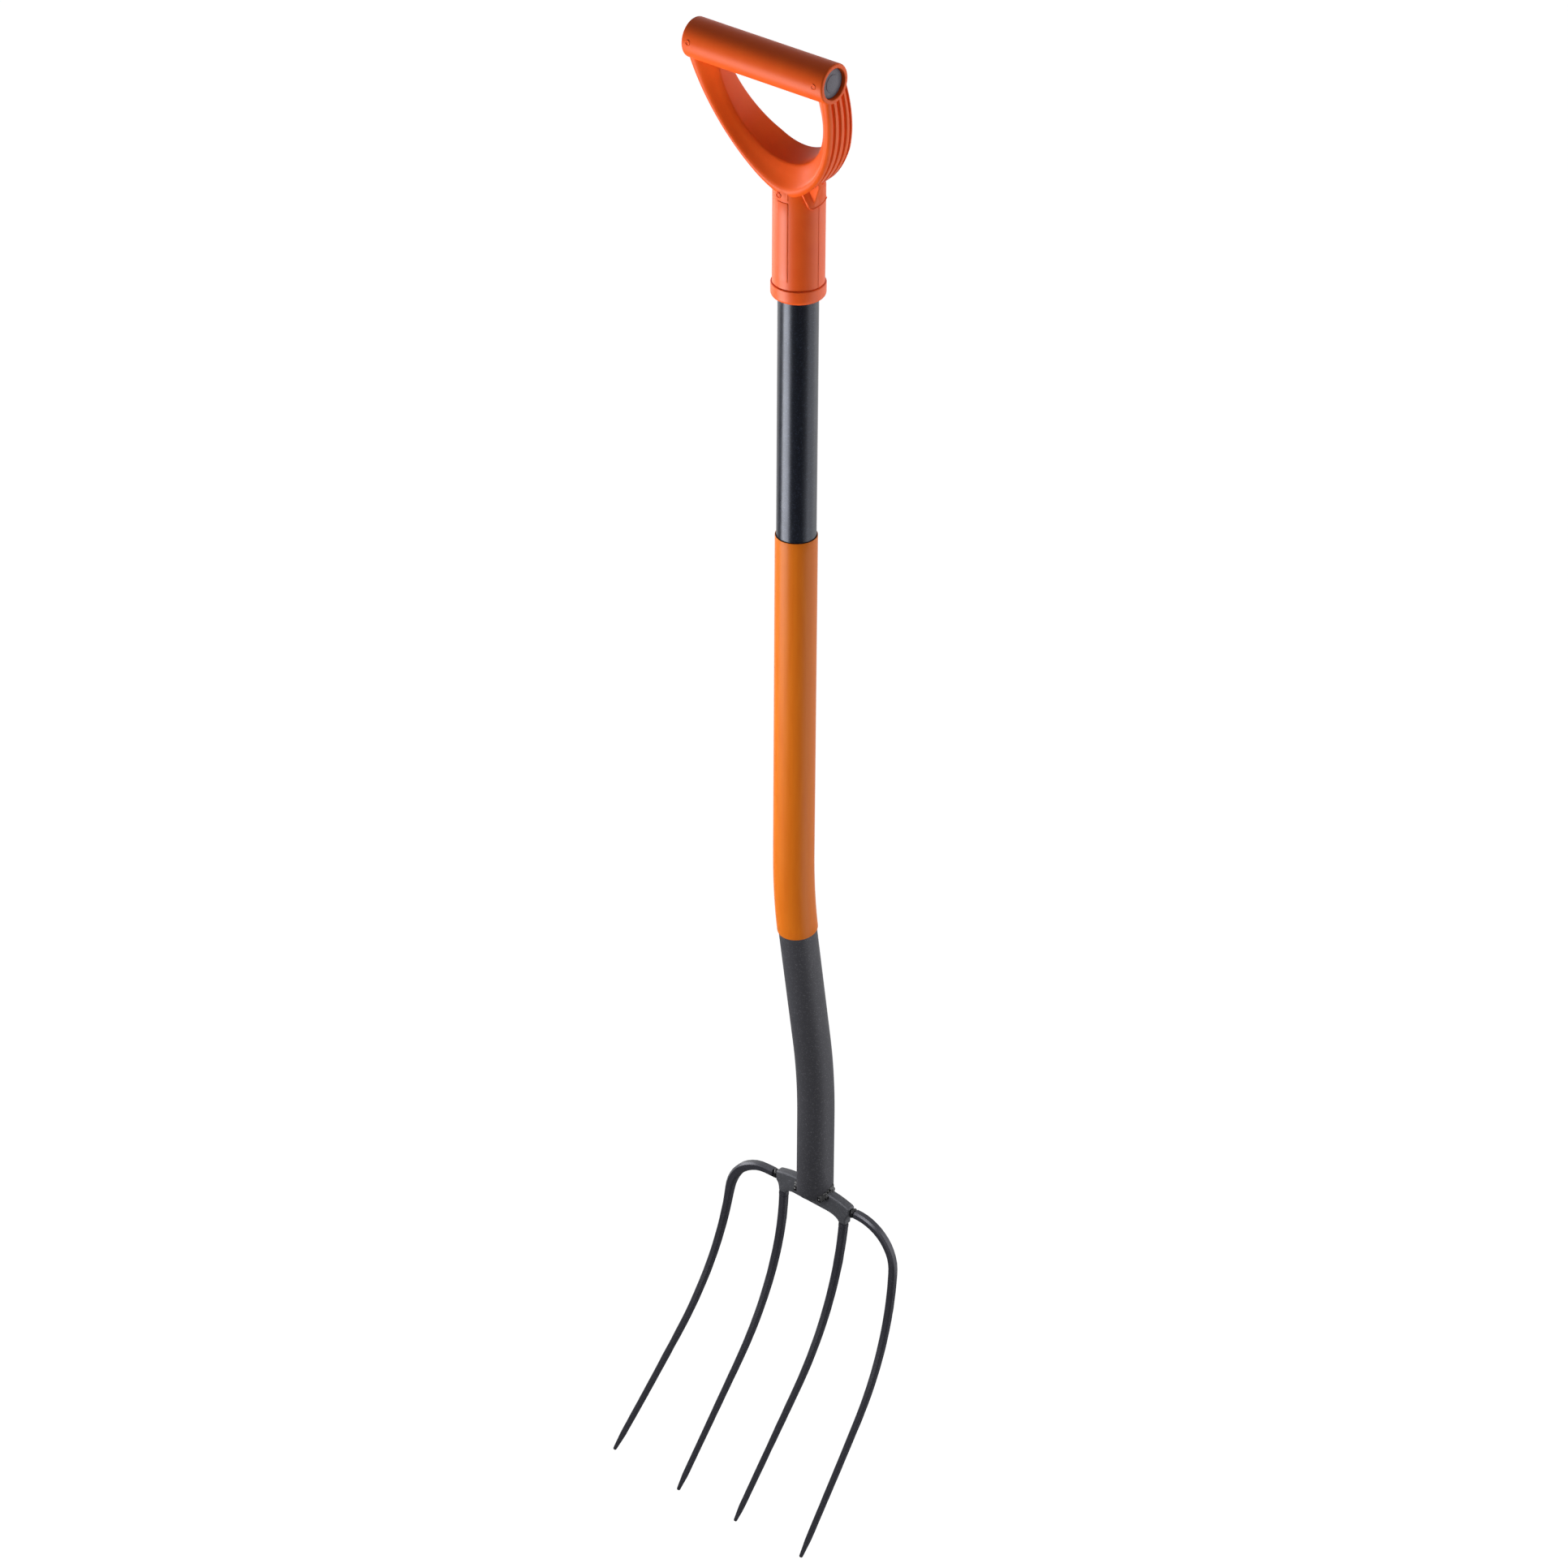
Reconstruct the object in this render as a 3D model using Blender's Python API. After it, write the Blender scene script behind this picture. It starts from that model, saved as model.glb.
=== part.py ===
"""A four-tine digging fork: a moulded D handle on a bent steel tube, over a welded head.

Units are metres, with +Z up the shaft and +X along the grip. The tines sweep forward, towards -Y.
The origin is the middle of the grip's underside, where a hook holds the fork.
"""
import math

import bmesh
import bpy
from mathutils import Vector

MM = 0.001
TOUCH_GAP = 0.3 * MM

# Grip: the bar that the hand closes on, bored at both ends for a plug
GRIP_LENGTH = 124.4 * MM
GRIP_RADIUS = 14.7 * MM
GRIP_EDGE_ROUND = 1.8 * MM
GRIP_BORE_RADIUS = 11.3 * MM
GRIP_BORE_DEPTH = 14 * MM
GRIP_SIDES = 40

# Plugs: pressed into the grip's bores, a little below the rim
PLUG_RECESS = 2.4 * MM
PLUG_LENGTH = 9 * MM
PLUG_PAD_RADIUS = 6.5 * MM
PLUG_PAD_HEIGHT = 0.5 * MM
PLUG_EDGE = 0.8 * MM

# Loop: the fluted band between the grip and the socket, leaning forward over the shaft
LOOP_LEAN = math.radians(18)
LOOP_OUTER_HALF_WIDTH = 62.7 * MM
LOOP_OUTER_DEPTH = 113.8 * MM
LOOP_OUTER_POWER = 1.78
WINDOW_HALF_WIDTH = 44.4 * MM
WINDOW_ROUND_START = 26.2 * MM
WINDOW_DEPTH = 91.3 * MM
WINDOW_FRONT = 1 * MM
WINDOW_BACK_EDGE = 1.5 * MM
LOOP_TOP = 5 * MM
LOOP_FRONT = (11 * MM, 13.6 * MM)
LOOP_FRONT_FLARE = 8
LOOP_BACK_OUTSIDE = (-12.4 * MM, -19.6 * MM)
LOOP_BACK_OUTSIDE_SPAN = (10 * MM, 75 * MM)
LOOP_BACK_INSIDE = (-10.2 * MM, -20.5 * MM)
LOOP_BACK_INSIDE_SPAN = (20 * MM, 84 * MM)
LOOP_BACK_SAG = 9 * MM
LOOP_STATIONS = 45
CURVE_STEPS = 120
FLUTES = 4
FLUTE_TOP = 0.88
FLUTE_BOTTOM = 0.06
FLUTE_DEPTH = 2.6 * MM
FLUTE_FADE = (104 * MM, 122 * MM)

# Socket: the cup under the loop that takes the tube, with a collar round its mouth
SHAFT_BACK = 40 * MM
SOCKET_RADIUS = 19.1 * MM
SOCKET_SHOULDER = 108 * MM
SOCKET_DOME = 10 * MM
COLLAR_RADIUS = 20.2 * MM
COLLAR_TOP = 184 * MM
SOCKET_MOUTH = 195 * MM
COLLAR_ROUND = 3 * MM
TUBE_TOP = 119 * MM
SOCKET_SIDES = 48

# Webs: fins between the loop and the socket's sides, parallel to the loop and running out downwards
WEB_THICKNESS = 4.5 * MM
WEB_SLANT = 0.337
WEB_KNEE_BACK = 28.1 * MM
WEB_KNEE = 101.2 * MM
WEB_KNEE_REACH = 26.6 * MM
WEB_HEAD = 90 * MM
WEB_HEAD_REACH = 30 * MM
WEB_FOOT = 117 * MM
WEB_FOOT_REACH = 18.7 * MM
WEB_ROOT = 10 * MM

# Rivet: through the back of the socket and the tube wall
RIVET_HEIGHT = 164 * MM
RIVET_SHANK_RADIUS = 2.4 * MM
RIVET_HEAD_RADIUS = 4.8 * MM
RIVET_HEAD_HEIGHT = 2.2 * MM
RIVET_TAIL_RADIUS = 3.6 * MM
RIVET_TAIL_HEIGHT = 1.4 * MM
RIVET_TAIL_CLEARANCE = 0.6 * MM
RIVET_SIDES = 20

# Shaft: a steel tube set back by two long bends, with a plastic sleeve on its straight part
TUBE_RADIUS = 15 * MM
TUBE_WALL = 1.5 * MM
TUBE_SIDES = 40
BEND_START = 672 * MM
BEND_ANGLE = math.radians(9.3)
BEND_RADIUS = 480 * MM
BEND_OFFSET = 31 * MM
BEND_STEPS = 8
SLEEVE_TOP = 391.7 * MM
SLEEVE_BOTTOM = 744 * MM
SLEEVE_RADIUS = 15.95 * MM

# Bridge: the plate that joins the four tines, a little out of level, with a tongue up inside the tube
BRIDGE_TOP = 1007.1 * MM
BRIDGE_HEIGHT = 17.7 * MM
BRIDGE_TILT = 0.04
BRIDGE_CROWN = 0.0067 / MM
BRIDGE_TOP_STEPS = 7
BRIDGE_THICKNESS = 8 * MM
BRIDGE_HALF_LENGTH = 38 * MM
BRIDGE_EDGE = 1.5 * MM
ARM_HEIGHT = {-1: 13.7 * MM, 1: 12.1 * MM}
ARM_FILLET = 7.3 * MM
LEG_FILLET = {-1: 8 * MM, 1: 12 * MM}
LEG_WIDTH = 7.5 * MM
LEG_DROP = 5.2 * MM
FILLET_STEPS = 6
TUBE_FOOT = 1013.2 * MM
TONGUE_HALF_WIDTH = 12.2 * MM
TONGUE_LENGTH = 45 * MM
TONGUE_EDGE = 6 * MM

# Tines: tapered bars that curve forward to a blunt tip, the inner ones drawn in a little under the bridge
TINE_INNER_X = 30.2 * MM
TINE_INNER_ROOT_X = {-1: 31.3 * MM, 1: 30.6 * MM}
TINE_INNER_DRAW = 60 * MM
TINE_INNER_DRAW_STEPS = 8
TINE_TIP = 1254.7 * MM
SWEEP_START = 1016.7 * MM
SWEEP_STRAIGHT = 12.5 * MM
SWEEP_RADIUS = 235 * MM
SWEEP_START_ANGLE = math.radians(4.4)
SWEEP_END_ANGLE = math.radians(41.8)
SWEEP_STEPS = 24
TINE_OUTER_HALF = 3.6 * MM
TINE_INNER_HALF = 3.5 * MM
TINE_TAPER = ((0.0, 1.0), (0.3, 0.87), (0.6, 0.75), (0.95, 0.62), (1.0, 0.36))
TINE_STATIONS = 44
TINE_CHAMFER = 0.58

# Outer tines: bent by hand, so the left one (-1) and the right one (+1) differ a little
SHOULDER_RADIUS = {-1: 36.5 * MM, 1: 39.5 * MM}
SHOULDER_DROP = {-1: 8.6 * MM, 1: 10.3 * MM}
SHOULDER_SWELL = {-1: 0.18, 1: 0.0}
SWELL_MIDDLE = 0.15
SWELL_SPREAD = 0.07
SHOULDER_STEPS = 16
SPLAY_STEPS = 12
SPLAY_AT_SHOULDER = {-1: math.radians(2.2), 1: math.radians(5.7)}
SPLAY_AT_TIP = {-1: math.radians(6.4), 1: math.radians(2.8)}
OUTER_TIP_X = {-1: 101.4 * MM, 1: 99.1 * MM}
OUTER_TIP = {-1: 1251.7 * MM, 1: 1254.9 * MM}

# Weld beads: the metal between the bridge and each tine, and in the corners under the tube
BEAD_THICKNESS = 2.6 * MM
BEAD_CLEARANCE = 0.5 * MM
BEAD_HALF = 4.3 * MM
BEAD_PROFILE = ((0.0, 0.8), (0.25, 0.97), (0.5, 1.0), (0.75, 0.97), (1.0, 0.8))
TUBE_BEAD_OVERLAP = 3 * MM
TUBE_BEAD_REACH = 5 * MM
TUBE_BEAD_HEIGHT = 6 * MM
TUBE_BEAD_STEPS = 4


def clear_scene():
    for item in list(bpy.data.objects):
        bpy.data.objects.remove(item, do_unlink=True)


def finish(name, colour, roughness, metallic):
    """A plain material of one colour."""
    material = bpy.data.materials.new(name)
    material.use_nodes = True
    shader = material.node_tree.nodes["Principled BSDF"]
    shader.inputs["Base Color"].default_value = (*colour, 1.0)
    shader.inputs["Roughness"].default_value = roughness
    shader.inputs["Metallic"].default_value = metallic
    return material


def add_object(name, shape, material=None):
    """Turn a bmesh into a named object. One with no material is a cutter or a part of a union."""
    bmesh.ops.recalc_face_normals(shape, faces=shape.faces)
    mesh = bpy.data.meshes.new(name)
    shape.to_mesh(mesh)
    shape.free()
    mesh.shade_smooth()
    mesh.set_sharp_from_angle(angle=math.radians(35))
    item = bpy.data.objects.new(name, mesh)
    bpy.context.scene.collection.objects.link(item)
    if material:
        mesh.materials.append(material)
    else:
        item.hide_render = True
        item.display_type = "WIRE"
    return item


def combine(item, other, operation):
    modifier = item.modifiers.new(f"{operation.lower()}_{other.name}", "BOOLEAN")
    modifier.operation = operation
    modifier.object = other


def loft(sections, closed_ends=True):
    """Skin a row of closed loops, each a list of points, into one shape."""
    shape = bmesh.new()
    loops = [[shape.verts.new(point) for point in section] for section in sections]
    count = len(loops[0])
    for loop, following in zip(loops, loops[1:]):
        for i in range(count):
            j = (i + 1) % count
            shape.faces.new((loop[i], loop[j], following[j], following[i]))
    if closed_ends:
        shape.faces.new(loops[0])
        shape.faces.new(loops[-1])
    return shape


def turn(profile, centre, axis, sides):
    """Spin a profile of (radius, height) points round an axis through centre."""
    axis = Vector(axis).normalized()
    across = axis.orthogonal().normalized()
    shape = bmesh.new()
    verts = [shape.verts.new(Vector(centre) + across * r + axis * h) for r, h in profile]
    edges = [shape.edges.new(pair) for pair in zip(verts, verts[1:])]
    bmesh.ops.spin(shape, geom=verts + edges, cent=centre, axis=axis, angle=2 * math.pi, steps=sides)
    bmesh.ops.remove_doubles(shape, verts=shape.verts, dist=0.01 * MM)
    return shape


def prism(outline, depth_low, depth_high):
    """Extrude an outline of (x, z) points along Y."""
    shape = bmesh.new()
    face = shape.faces.new([shape.verts.new((x, depth_low, z)) for x, z in outline])
    grown = bmesh.ops.extrude_face_region(shape, geom=[face])["geom"]
    moved = [part for part in grown if isinstance(part, bmesh.types.BMVert)]
    bmesh.ops.translate(shape, verts=moved, vec=(0, depth_high - depth_low, 0))
    return shape


def arc(centre, radius, start, end, steps):
    """Points of a plane arc, from one angle in degrees to another."""
    angles = [math.radians(start + (end - start) * i / steps) for i in range(steps + 1)]
    return [(centre[0] + radius * math.cos(a), centre[1] + radius * math.sin(a)) for a in angles]


def blend(pair, share):
    return pair[0] + (pair[1] - pair[0]) * share


def through(span, level):
    """How far a level is through a span, from 0 to 1."""
    return min(1.0, max(0.0, (level - span[0]) / (span[1] - span[0])))


def even_points(points, count):
    """Points at equal distances along a polyline."""
    points = [Vector(point) for point in points]
    lengths = [0.0]
    for a, b in zip(points, points[1:]):
        lengths.append(lengths[-1] + (b - a).length)
    found = []
    piece = 0
    for i in range(count):
        target = lengths[-1] * i / (count - 1)
        while piece < len(points) - 2 and lengths[piece + 1] < target:
            piece += 1
        share = (target - lengths[piece]) / (lengths[piece + 1] - lengths[piece])
        found.append(points[piece].lerp(points[piece + 1], share))
    return found


def below_grip(distance):
    """Height of a level that is measured down from the grip's axis."""
    return GRIP_RADIUS - distance


def loop_point(across, down, front):
    """A point of the leaning loop: across the grip, down the loop, and out of its front."""
    y = down * math.sin(LOOP_LEAN) - front * math.cos(LOOP_LEAN)
    z = GRIP_RADIUS - down * math.cos(LOOP_LEAN) - front * math.sin(LOOP_LEAN)
    return Vector((across, y, z))


def loop_section(inside, low, high, flute):
    """The band's section as (share from window to outside, distance out of the front) points."""
    depth = high - low
    window = [(0.0, inside + WINDOW_BACK_EDGE), (0.0, WINDOW_FRONT), (0.06, WINDOW_FRONT + 0.05 * depth)]
    front = [(0.68, low + 0.985 * depth), (0.84, high), (0.96, low + 0.93 * depth)]
    fluted = []
    for i in range(2 * FLUTES + 1):
        level = blend((FLUTE_TOP, FLUTE_BOTTOM), i / (2 * FLUTES))
        fluted.append((1.0 - flute * (i % 2), low + level * depth))
    back = [(0.95, low + 0.02 * depth), (0.86, low), (0.08, inside)]
    return window + front + fluted + back


def bow(half_width, depth, power):
    """The lower half of an oval, as (across, down) points. A lower power gives straighter sides."""
    points = []
    for i in range(CURVE_STEPS + 1):
        angle = math.pi * i / CURVE_STEPS
        across = math.copysign(abs(math.cos(angle)) ** (2 / power), math.cos(angle))
        points.append((half_width * across, depth * max(0.0, math.sin(angle)) ** (2 / power)))
    return points


def handle_loop():
    outer = bow(LOOP_OUTER_HALF_WIDTH, LOOP_OUTER_DEPTH, LOOP_OUTER_POWER)
    outer = [point for point in outer if point[1] > LOOP_TOP]
    window = [(across, WINDOW_ROUND_START + down)
              for across, down in bow(WINDOW_HALF_WIDTH, WINDOW_DEPTH - WINDOW_ROUND_START, 2)]
    window = [(WINDOW_HALF_WIDTH, LOOP_TOP)] + window + [(-WINDOW_HALF_WIDTH, LOOP_TOP)]
    sections = []
    outer_points = even_points(outer, LOOP_STATIONS)
    window_points = even_points(window, LOOP_STATIONS)
    for outside, inside in zip(outer_points, window_points):
        low = blend(LOOP_BACK_OUTSIDE, through(LOOP_BACK_OUTSIDE_SPAN, outside[1]))
        low_inside = blend(LOOP_BACK_INSIDE, through(LOOP_BACK_INSIDE_SPAN, inside[1]))
        high = blend(LOOP_FRONT, (outside[1] / LOOP_OUTER_DEPTH) ** LOOP_FRONT_FLARE)
        flute_depth = FLUTE_DEPTH * (1 - through(FLUTE_FADE, outside[1]))
        flute = flute_depth / (outside - inside).length
        sag = LOOP_BACK_SAG * (outside[1] / LOOP_OUTER_DEPTH) ** 2
        section = []
        for out_share, front in loop_section(low_inside, low, high, flute):
            across, down = inside.lerp(outside, out_share)
            down += sag * out_share * (high - front) / (high - low)
            section.append(loop_point(across, down, front))
        sections.append(section)
    return loft(sections)


def grip_bar():
    half = GRIP_LENGTH / 2
    inner = GRIP_RADIUS - GRIP_EDGE_ROUND
    edge = half - GRIP_EDGE_ROUND
    right = arc((inner, edge), GRIP_EDGE_ROUND, 90, 0, 4)
    left = arc((inner, -edge), GRIP_EDGE_ROUND, 0, -90, 4)
    profile = [(0, half)] + right + left + [(0, -half)]
    return turn(profile, (0, 0, GRIP_RADIUS), (1, 0, 0), GRIP_SIDES)


def shaft_axis_point(distance):
    """A point on the upper shaft's axis, at a level measured down from the grip's axis."""
    return Vector((0, SHAFT_BACK, below_grip(distance)))


def handle_socket():
    dome = [(SOCKET_RADIUS * math.sin(a), SOCKET_DOME * math.cos(a) - SOCKET_SHOULDER)
            for a in (math.radians(15 * i) for i in range(7))]
    mouth = arc((COLLAR_RADIUS - COLLAR_ROUND, COLLAR_ROUND - SOCKET_MOUTH), COLLAR_ROUND, 0, -90, 4)
    collar = [(SOCKET_RADIUS, -COLLAR_TOP), (COLLAR_RADIUS, -COLLAR_TOP)]
    profile = dome + collar + mouth + [(0, -SOCKET_MOUTH)]
    return turn(profile, shaft_axis_point(0), (0, 0, 1), SOCKET_SIDES)


def web(side):
    """A slanted fin beside the socket, sunk into the loop at its head and into the socket at its root."""
    outline = [(WEB_ROOT, WEB_HEAD), (WEB_HEAD_REACH, WEB_HEAD), (WEB_KNEE_REACH, WEB_KNEE),
               (WEB_FOOT_REACH, WEB_FOOT), (WEB_ROOT, WEB_FOOT)]
    front = []
    for across, level in outline:
        back = WEB_KNEE_BACK + WEB_SLANT * (level - WEB_KNEE)
        front.append(Vector((side * across, back, below_grip(level))))
    rear = [point + Vector((0, WEB_THICKNESS, 0)) for point in front]
    return loft([front, rear])


def rivet_hole():
    radius = RIVET_SHANK_RADIUS + TOUCH_GAP
    near = TUBE_RADIUS / 2
    far = 2 * TUBE_RADIUS
    profile = [(0, far), (radius, far), (radius, near), (0, near)]
    return turn(profile, shaft_axis_point(RIVET_HEIGHT), (0, 1, 0), RIVET_SIDES)


def make_handle(material):
    handle = add_object("d_handle", handle_loop(), material)
    combine(handle, add_object("handle_grip_bar", grip_bar()), "UNION")
    combine(handle, add_object("handle_socket_cup", handle_socket()), "UNION")
    for side, name in ((-1, "left"), (1, "right")):
        combine(handle, add_object(f"handle_web_{name}", web(side)), "UNION")
        depth = GRIP_LENGTH / 2 - GRIP_BORE_DEPTH
        bore = [(0, depth), (GRIP_BORE_RADIUS, depth), (GRIP_BORE_RADIUS, GRIP_LENGTH), (0, GRIP_LENGTH)]
        cutter = turn(bore[::-1], (0, 0, GRIP_RADIUS), (side, 0, 0), GRIP_SIDES)
        combine(handle, add_object(f"grip_bore_{name}", cutter), "DIFFERENCE")
    bore_radius = TUBE_RADIUS + TOUCH_GAP
    bore_top = TOUCH_GAP - TUBE_TOP
    bore_foot = -2 * SOCKET_MOUTH
    bore = [(0, bore_top), (bore_radius, bore_top), (bore_radius, bore_foot), (0, bore_foot)]
    cutter = turn(bore, shaft_axis_point(0), (0, 0, 1), TUBE_SIDES)
    combine(handle, add_object("socket_bore", cutter), "DIFFERENCE")
    combine(handle, add_object("handle_rivet_hole", rivet_hole()), "DIFFERENCE")


def make_plug(side, name, material):
    radius = GRIP_BORE_RADIUS - TOUCH_GAP
    face = GRIP_LENGTH / 2 - PLUG_RECESS
    profile = [(0, face + PLUG_PAD_HEIGHT), (PLUG_PAD_RADIUS - PLUG_PAD_HEIGHT, face + PLUG_PAD_HEIGHT),
               (PLUG_PAD_RADIUS, face), (radius - PLUG_EDGE, face), (radius, face - PLUG_EDGE),
               (radius, face - PLUG_LENGTH), (0, face - PLUG_LENGTH)]
    add_object(name, turn(profile, (0, 0, GRIP_RADIUS), (side, 0, 0), GRIP_SIDES), material)


def make_rivet(material):
    head = SOCKET_RADIUS + TOUCH_GAP
    tail = TUBE_RADIUS - TUBE_WALL - TOUCH_GAP
    top = [(RIVET_HEAD_RADIUS * math.sin(a), head + RIVET_HEAD_HEIGHT * math.cos(a))
           for a in (math.radians(18 * i) for i in range(6))]
    low = tail - RIVET_TAIL_CLEARANCE
    profile = top + [(RIVET_SHANK_RADIUS, head), (RIVET_SHANK_RADIUS, low), (RIVET_TAIL_RADIUS, low),
                     (RIVET_TAIL_RADIUS, low - RIVET_TAIL_HEIGHT), (0, low - RIVET_TAIL_HEIGHT)]
    shape = turn(profile, shaft_axis_point(RIVET_HEIGHT), (0, 1, 0), RIVET_SIDES)
    add_object("handle_rivet", shape, material)


def shaft_route():
    """The shaft's axis from the socket to the bridge, as (back, down) points."""
    turns = [BEND_ANGLE * i / BEND_STEPS for i in range(BEND_STEPS + 1)]
    bend = [(BEND_RADIUS * (1 - math.cos(a)), BEND_RADIUS * math.sin(a)) for a in turns]
    bend_back, bend_down = bend[-1]
    slant_down = (BEND_OFFSET - 2 * bend_back) / math.tan(BEND_ANGLE)
    bend_end = BEND_START + 2 * bend_down + slant_down
    first = [(back, BEND_START + down) for back, down in bend]
    second = [(BEND_OFFSET - back, bend_end - down) for back, down in reversed(bend)]
    return [(0.0, TUBE_TOP)] + first + second + [(BEND_OFFSET, TUBE_FOOT)]


def shaft_part(top, bottom):
    """The stretch of the shaft's axis between two levels below the grip's axis."""
    route = shaft_route()
    inside = [point for point in route if top < point[1] < bottom]

    def at(level):
        for (b0, d0), (b1, d1) in zip(route, route[1:]):
            if d0 <= level <= d1:
                return blend((b0, b1), (level - d0) / (d1 - d0)), level
        return route[-1]

    return [at(top)] + inside + [at(bottom)]


def pipe(axis, outer_radius, inner_radius):
    """A hollow tube along a bent axis of (back, down) points."""
    points = [shaft_axis_point(down) + Vector((0, back, 0)) for back, down in axis]
    sections = []
    for i, point in enumerate(points):
        along = points[min(i + 1, len(points) - 1)] - points[max(i - 1, 0)]
        across = Vector((1, 0, 0))
        front = along.normalized().cross(across)
        section = []
        for side in range(TUBE_SIDES):
            angle = 2 * math.pi * side / TUBE_SIDES
            section.append((point, across * math.cos(angle) + front * math.sin(angle)))
        sections.append(section)
    outside = [[point + ray * outer_radius for point, ray in section] for section in sections]
    inside = [[point + ray * inner_radius for point, ray in section] for section in sections]
    walls = outside + inside[::-1]
    shape = loft(walls + walls[:1], closed_ends=False)
    bmesh.ops.remove_doubles(shape, verts=shape.verts, dist=0.01 * MM)
    return shape


def tube_slot():
    """What is cut out of the tube's foot, so that it straddles the bridge."""
    middle = SHAFT_BACK + BEND_OFFSET
    reach = 2 * TUBE_RADIUS
    half = BRIDGE_THICKNESS / 2 + TOUCH_GAP
    head = BRIDGE_TOP - TOUCH_GAP
    outline = [(-reach, head - BRIDGE_TILT * reach), (reach, head + BRIDGE_TILT * reach),
               (reach, TUBE_FOOT + reach), (-reach, TUBE_FOOT + reach)]
    outline = [(across, below_grip(level)) for across, level in outline]
    return prism(outline, middle - half, middle + half)


def make_shaft(tube_material, sleeve_material):
    axis = shaft_part(TUBE_TOP, TUBE_FOOT)
    tube = add_object("shaft_tube", pipe(axis, TUBE_RADIUS, TUBE_RADIUS - TUBE_WALL), tube_material)
    combine(tube, add_object("tube_rivet_hole", rivet_hole()), "DIFFERENCE")
    combine(tube, add_object("tube_foot_slot", tube_slot()), "DIFFERENCE")
    axis = shaft_part(SLEEVE_TOP, SLEEVE_BOTTOM)
    add_object("shaft_sleeve", pipe(axis, SLEEVE_RADIUS, TUBE_RADIUS + TOUCH_GAP), sleeve_material)


def bridge_half(side):
    """Half of the plate's outline as (x, z) points: the tongue, the top edge, the arm and the leg."""
    foot = BRIDGE_TOP + BRIDGE_HEIGHT
    leg_out = TINE_INNER_ROOT_X[side] + LEG_WIDTH / 2
    leg_in = TINE_INNER_ROOT_X[side] - LEG_WIDTH / 2
    tongue_top = BRIDGE_TOP - TONGUE_LENGTH
    points = [(TONGUE_HALF_WIDTH - TONGUE_EDGE, tongue_top),
              (TONGUE_HALF_WIDTH, tongue_top + TONGUE_EDGE)]
    for i in range(BRIDGE_TOP_STEPS + 1):
        across = blend((TONGUE_HALF_WIDTH, BRIDGE_HALF_LENGTH), i / BRIDGE_TOP_STEPS)
        points.append((across, BRIDGE_TOP + BRIDGE_CROWN * (across - TONGUE_HALF_WIDTH) ** 2))
    quarter = [math.pi / 2 * i / FILLET_STEPS for i in range(FILLET_STEPS + 1)]
    for a in quarter:
        points.append((BRIDGE_HALF_LENGTH - (BRIDGE_HALF_LENGTH - leg_out) * math.sin(a),
                       BRIDGE_TOP + ARM_HEIGHT[side] + ARM_FILLET * (1 - math.cos(a))))
    points.append((leg_out, foot + LEG_DROP))
    for a in quarter:
        points.append((leg_in - LEG_FILLET[side] * (1 - math.cos(a)),
                       foot + LEG_DROP * (1 - math.sin(a))))
    return [(side * across, below_grip(level + BRIDGE_TILT * side * across)) for across, level in points]


def make_bridge(material):
    right = bridge_half(1)
    left = bridge_half(-1)[::-1]
    middle = SHAFT_BACK + BEND_OFFSET
    shape = prism(right + left, middle - BRIDGE_THICKNESS / 2, middle + BRIDGE_THICKNESS / 2)
    bridge = add_object("head_bridge", shape, material)
    bevel = bridge.modifiers.new("edge", "BEVEL")
    bevel.width = BRIDGE_EDGE
    bevel.segments = 2
    bevel.limit_method = "ANGLE"
    bevel.angle_limit = math.radians(60)


def sweep_profile():
    """The tines' side view from the bridge to the tip, as (forward, down) points."""
    forward = SWEEP_STRAIGHT * math.sin(SWEEP_START_ANGLE)
    down = SWEEP_START + SWEEP_STRAIGHT * math.cos(SWEEP_START_ANGLE)
    points = [(0.0, SWEEP_START)]
    for i in range(SWEEP_STEPS + 1):
        angle = blend((SWEEP_START_ANGLE, SWEEP_END_ANGLE), i / SWEEP_STEPS)
        points.append((forward + SWEEP_RADIUS * (math.cos(SWEEP_START_ANGLE) - math.cos(angle)),
                       down + SWEEP_RADIUS * (math.sin(angle) - math.sin(SWEEP_START_ANGLE))))
    last_forward, last_down = points[-1]
    points.append((last_forward + (TINE_TIP - last_down) * math.tan(SWEEP_END_ANGLE), TINE_TIP))
    return points


def forward_at(down):
    """How far the tines have swept forward at a level below the grip's axis."""
    profile = sweep_profile()
    for (f0, d0), (f1, d1) in zip(profile, profile[1:]):
        if down <= d1:
            return blend((f0, f1), max(0.0, (down - d0) / (d1 - d0)))
    return profile[-1][0]


def tine_axis(front_view):
    """Lift a front view of (across, down) points onto the swept side view."""
    points = even_points(front_view, 200)
    back = SHAFT_BACK + BEND_OFFSET
    lifted = [Vector((across, back - forward_at(down), below_grip(down))) for across, down in points]
    return even_points(lifted, TINE_STATIONS)


def taper_at(share):
    for (s0, k0), (s1, k1) in zip(TINE_TAPER, TINE_TAPER[1:]):
        if share <= s1:
            return blend((k0, k1), (share - s0) / (s1 - s0))
    return TINE_TAPER[-1][1]


def bar_section(centre, along, half):
    """A chamfered square section across a bar, one flat side to the front."""
    front = Vector((0, -1, 0))
    front = (front - along * front.dot(along)).normalized()
    side = along.cross(front)
    cut = half * TINE_CHAMFER
    corners = [(half, cut), (cut, half), (-cut, half), (-half, cut)]
    corners += [(-a, -b) for a, b in corners]
    return [centre + side * a + front * b for a, b in corners]


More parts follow.
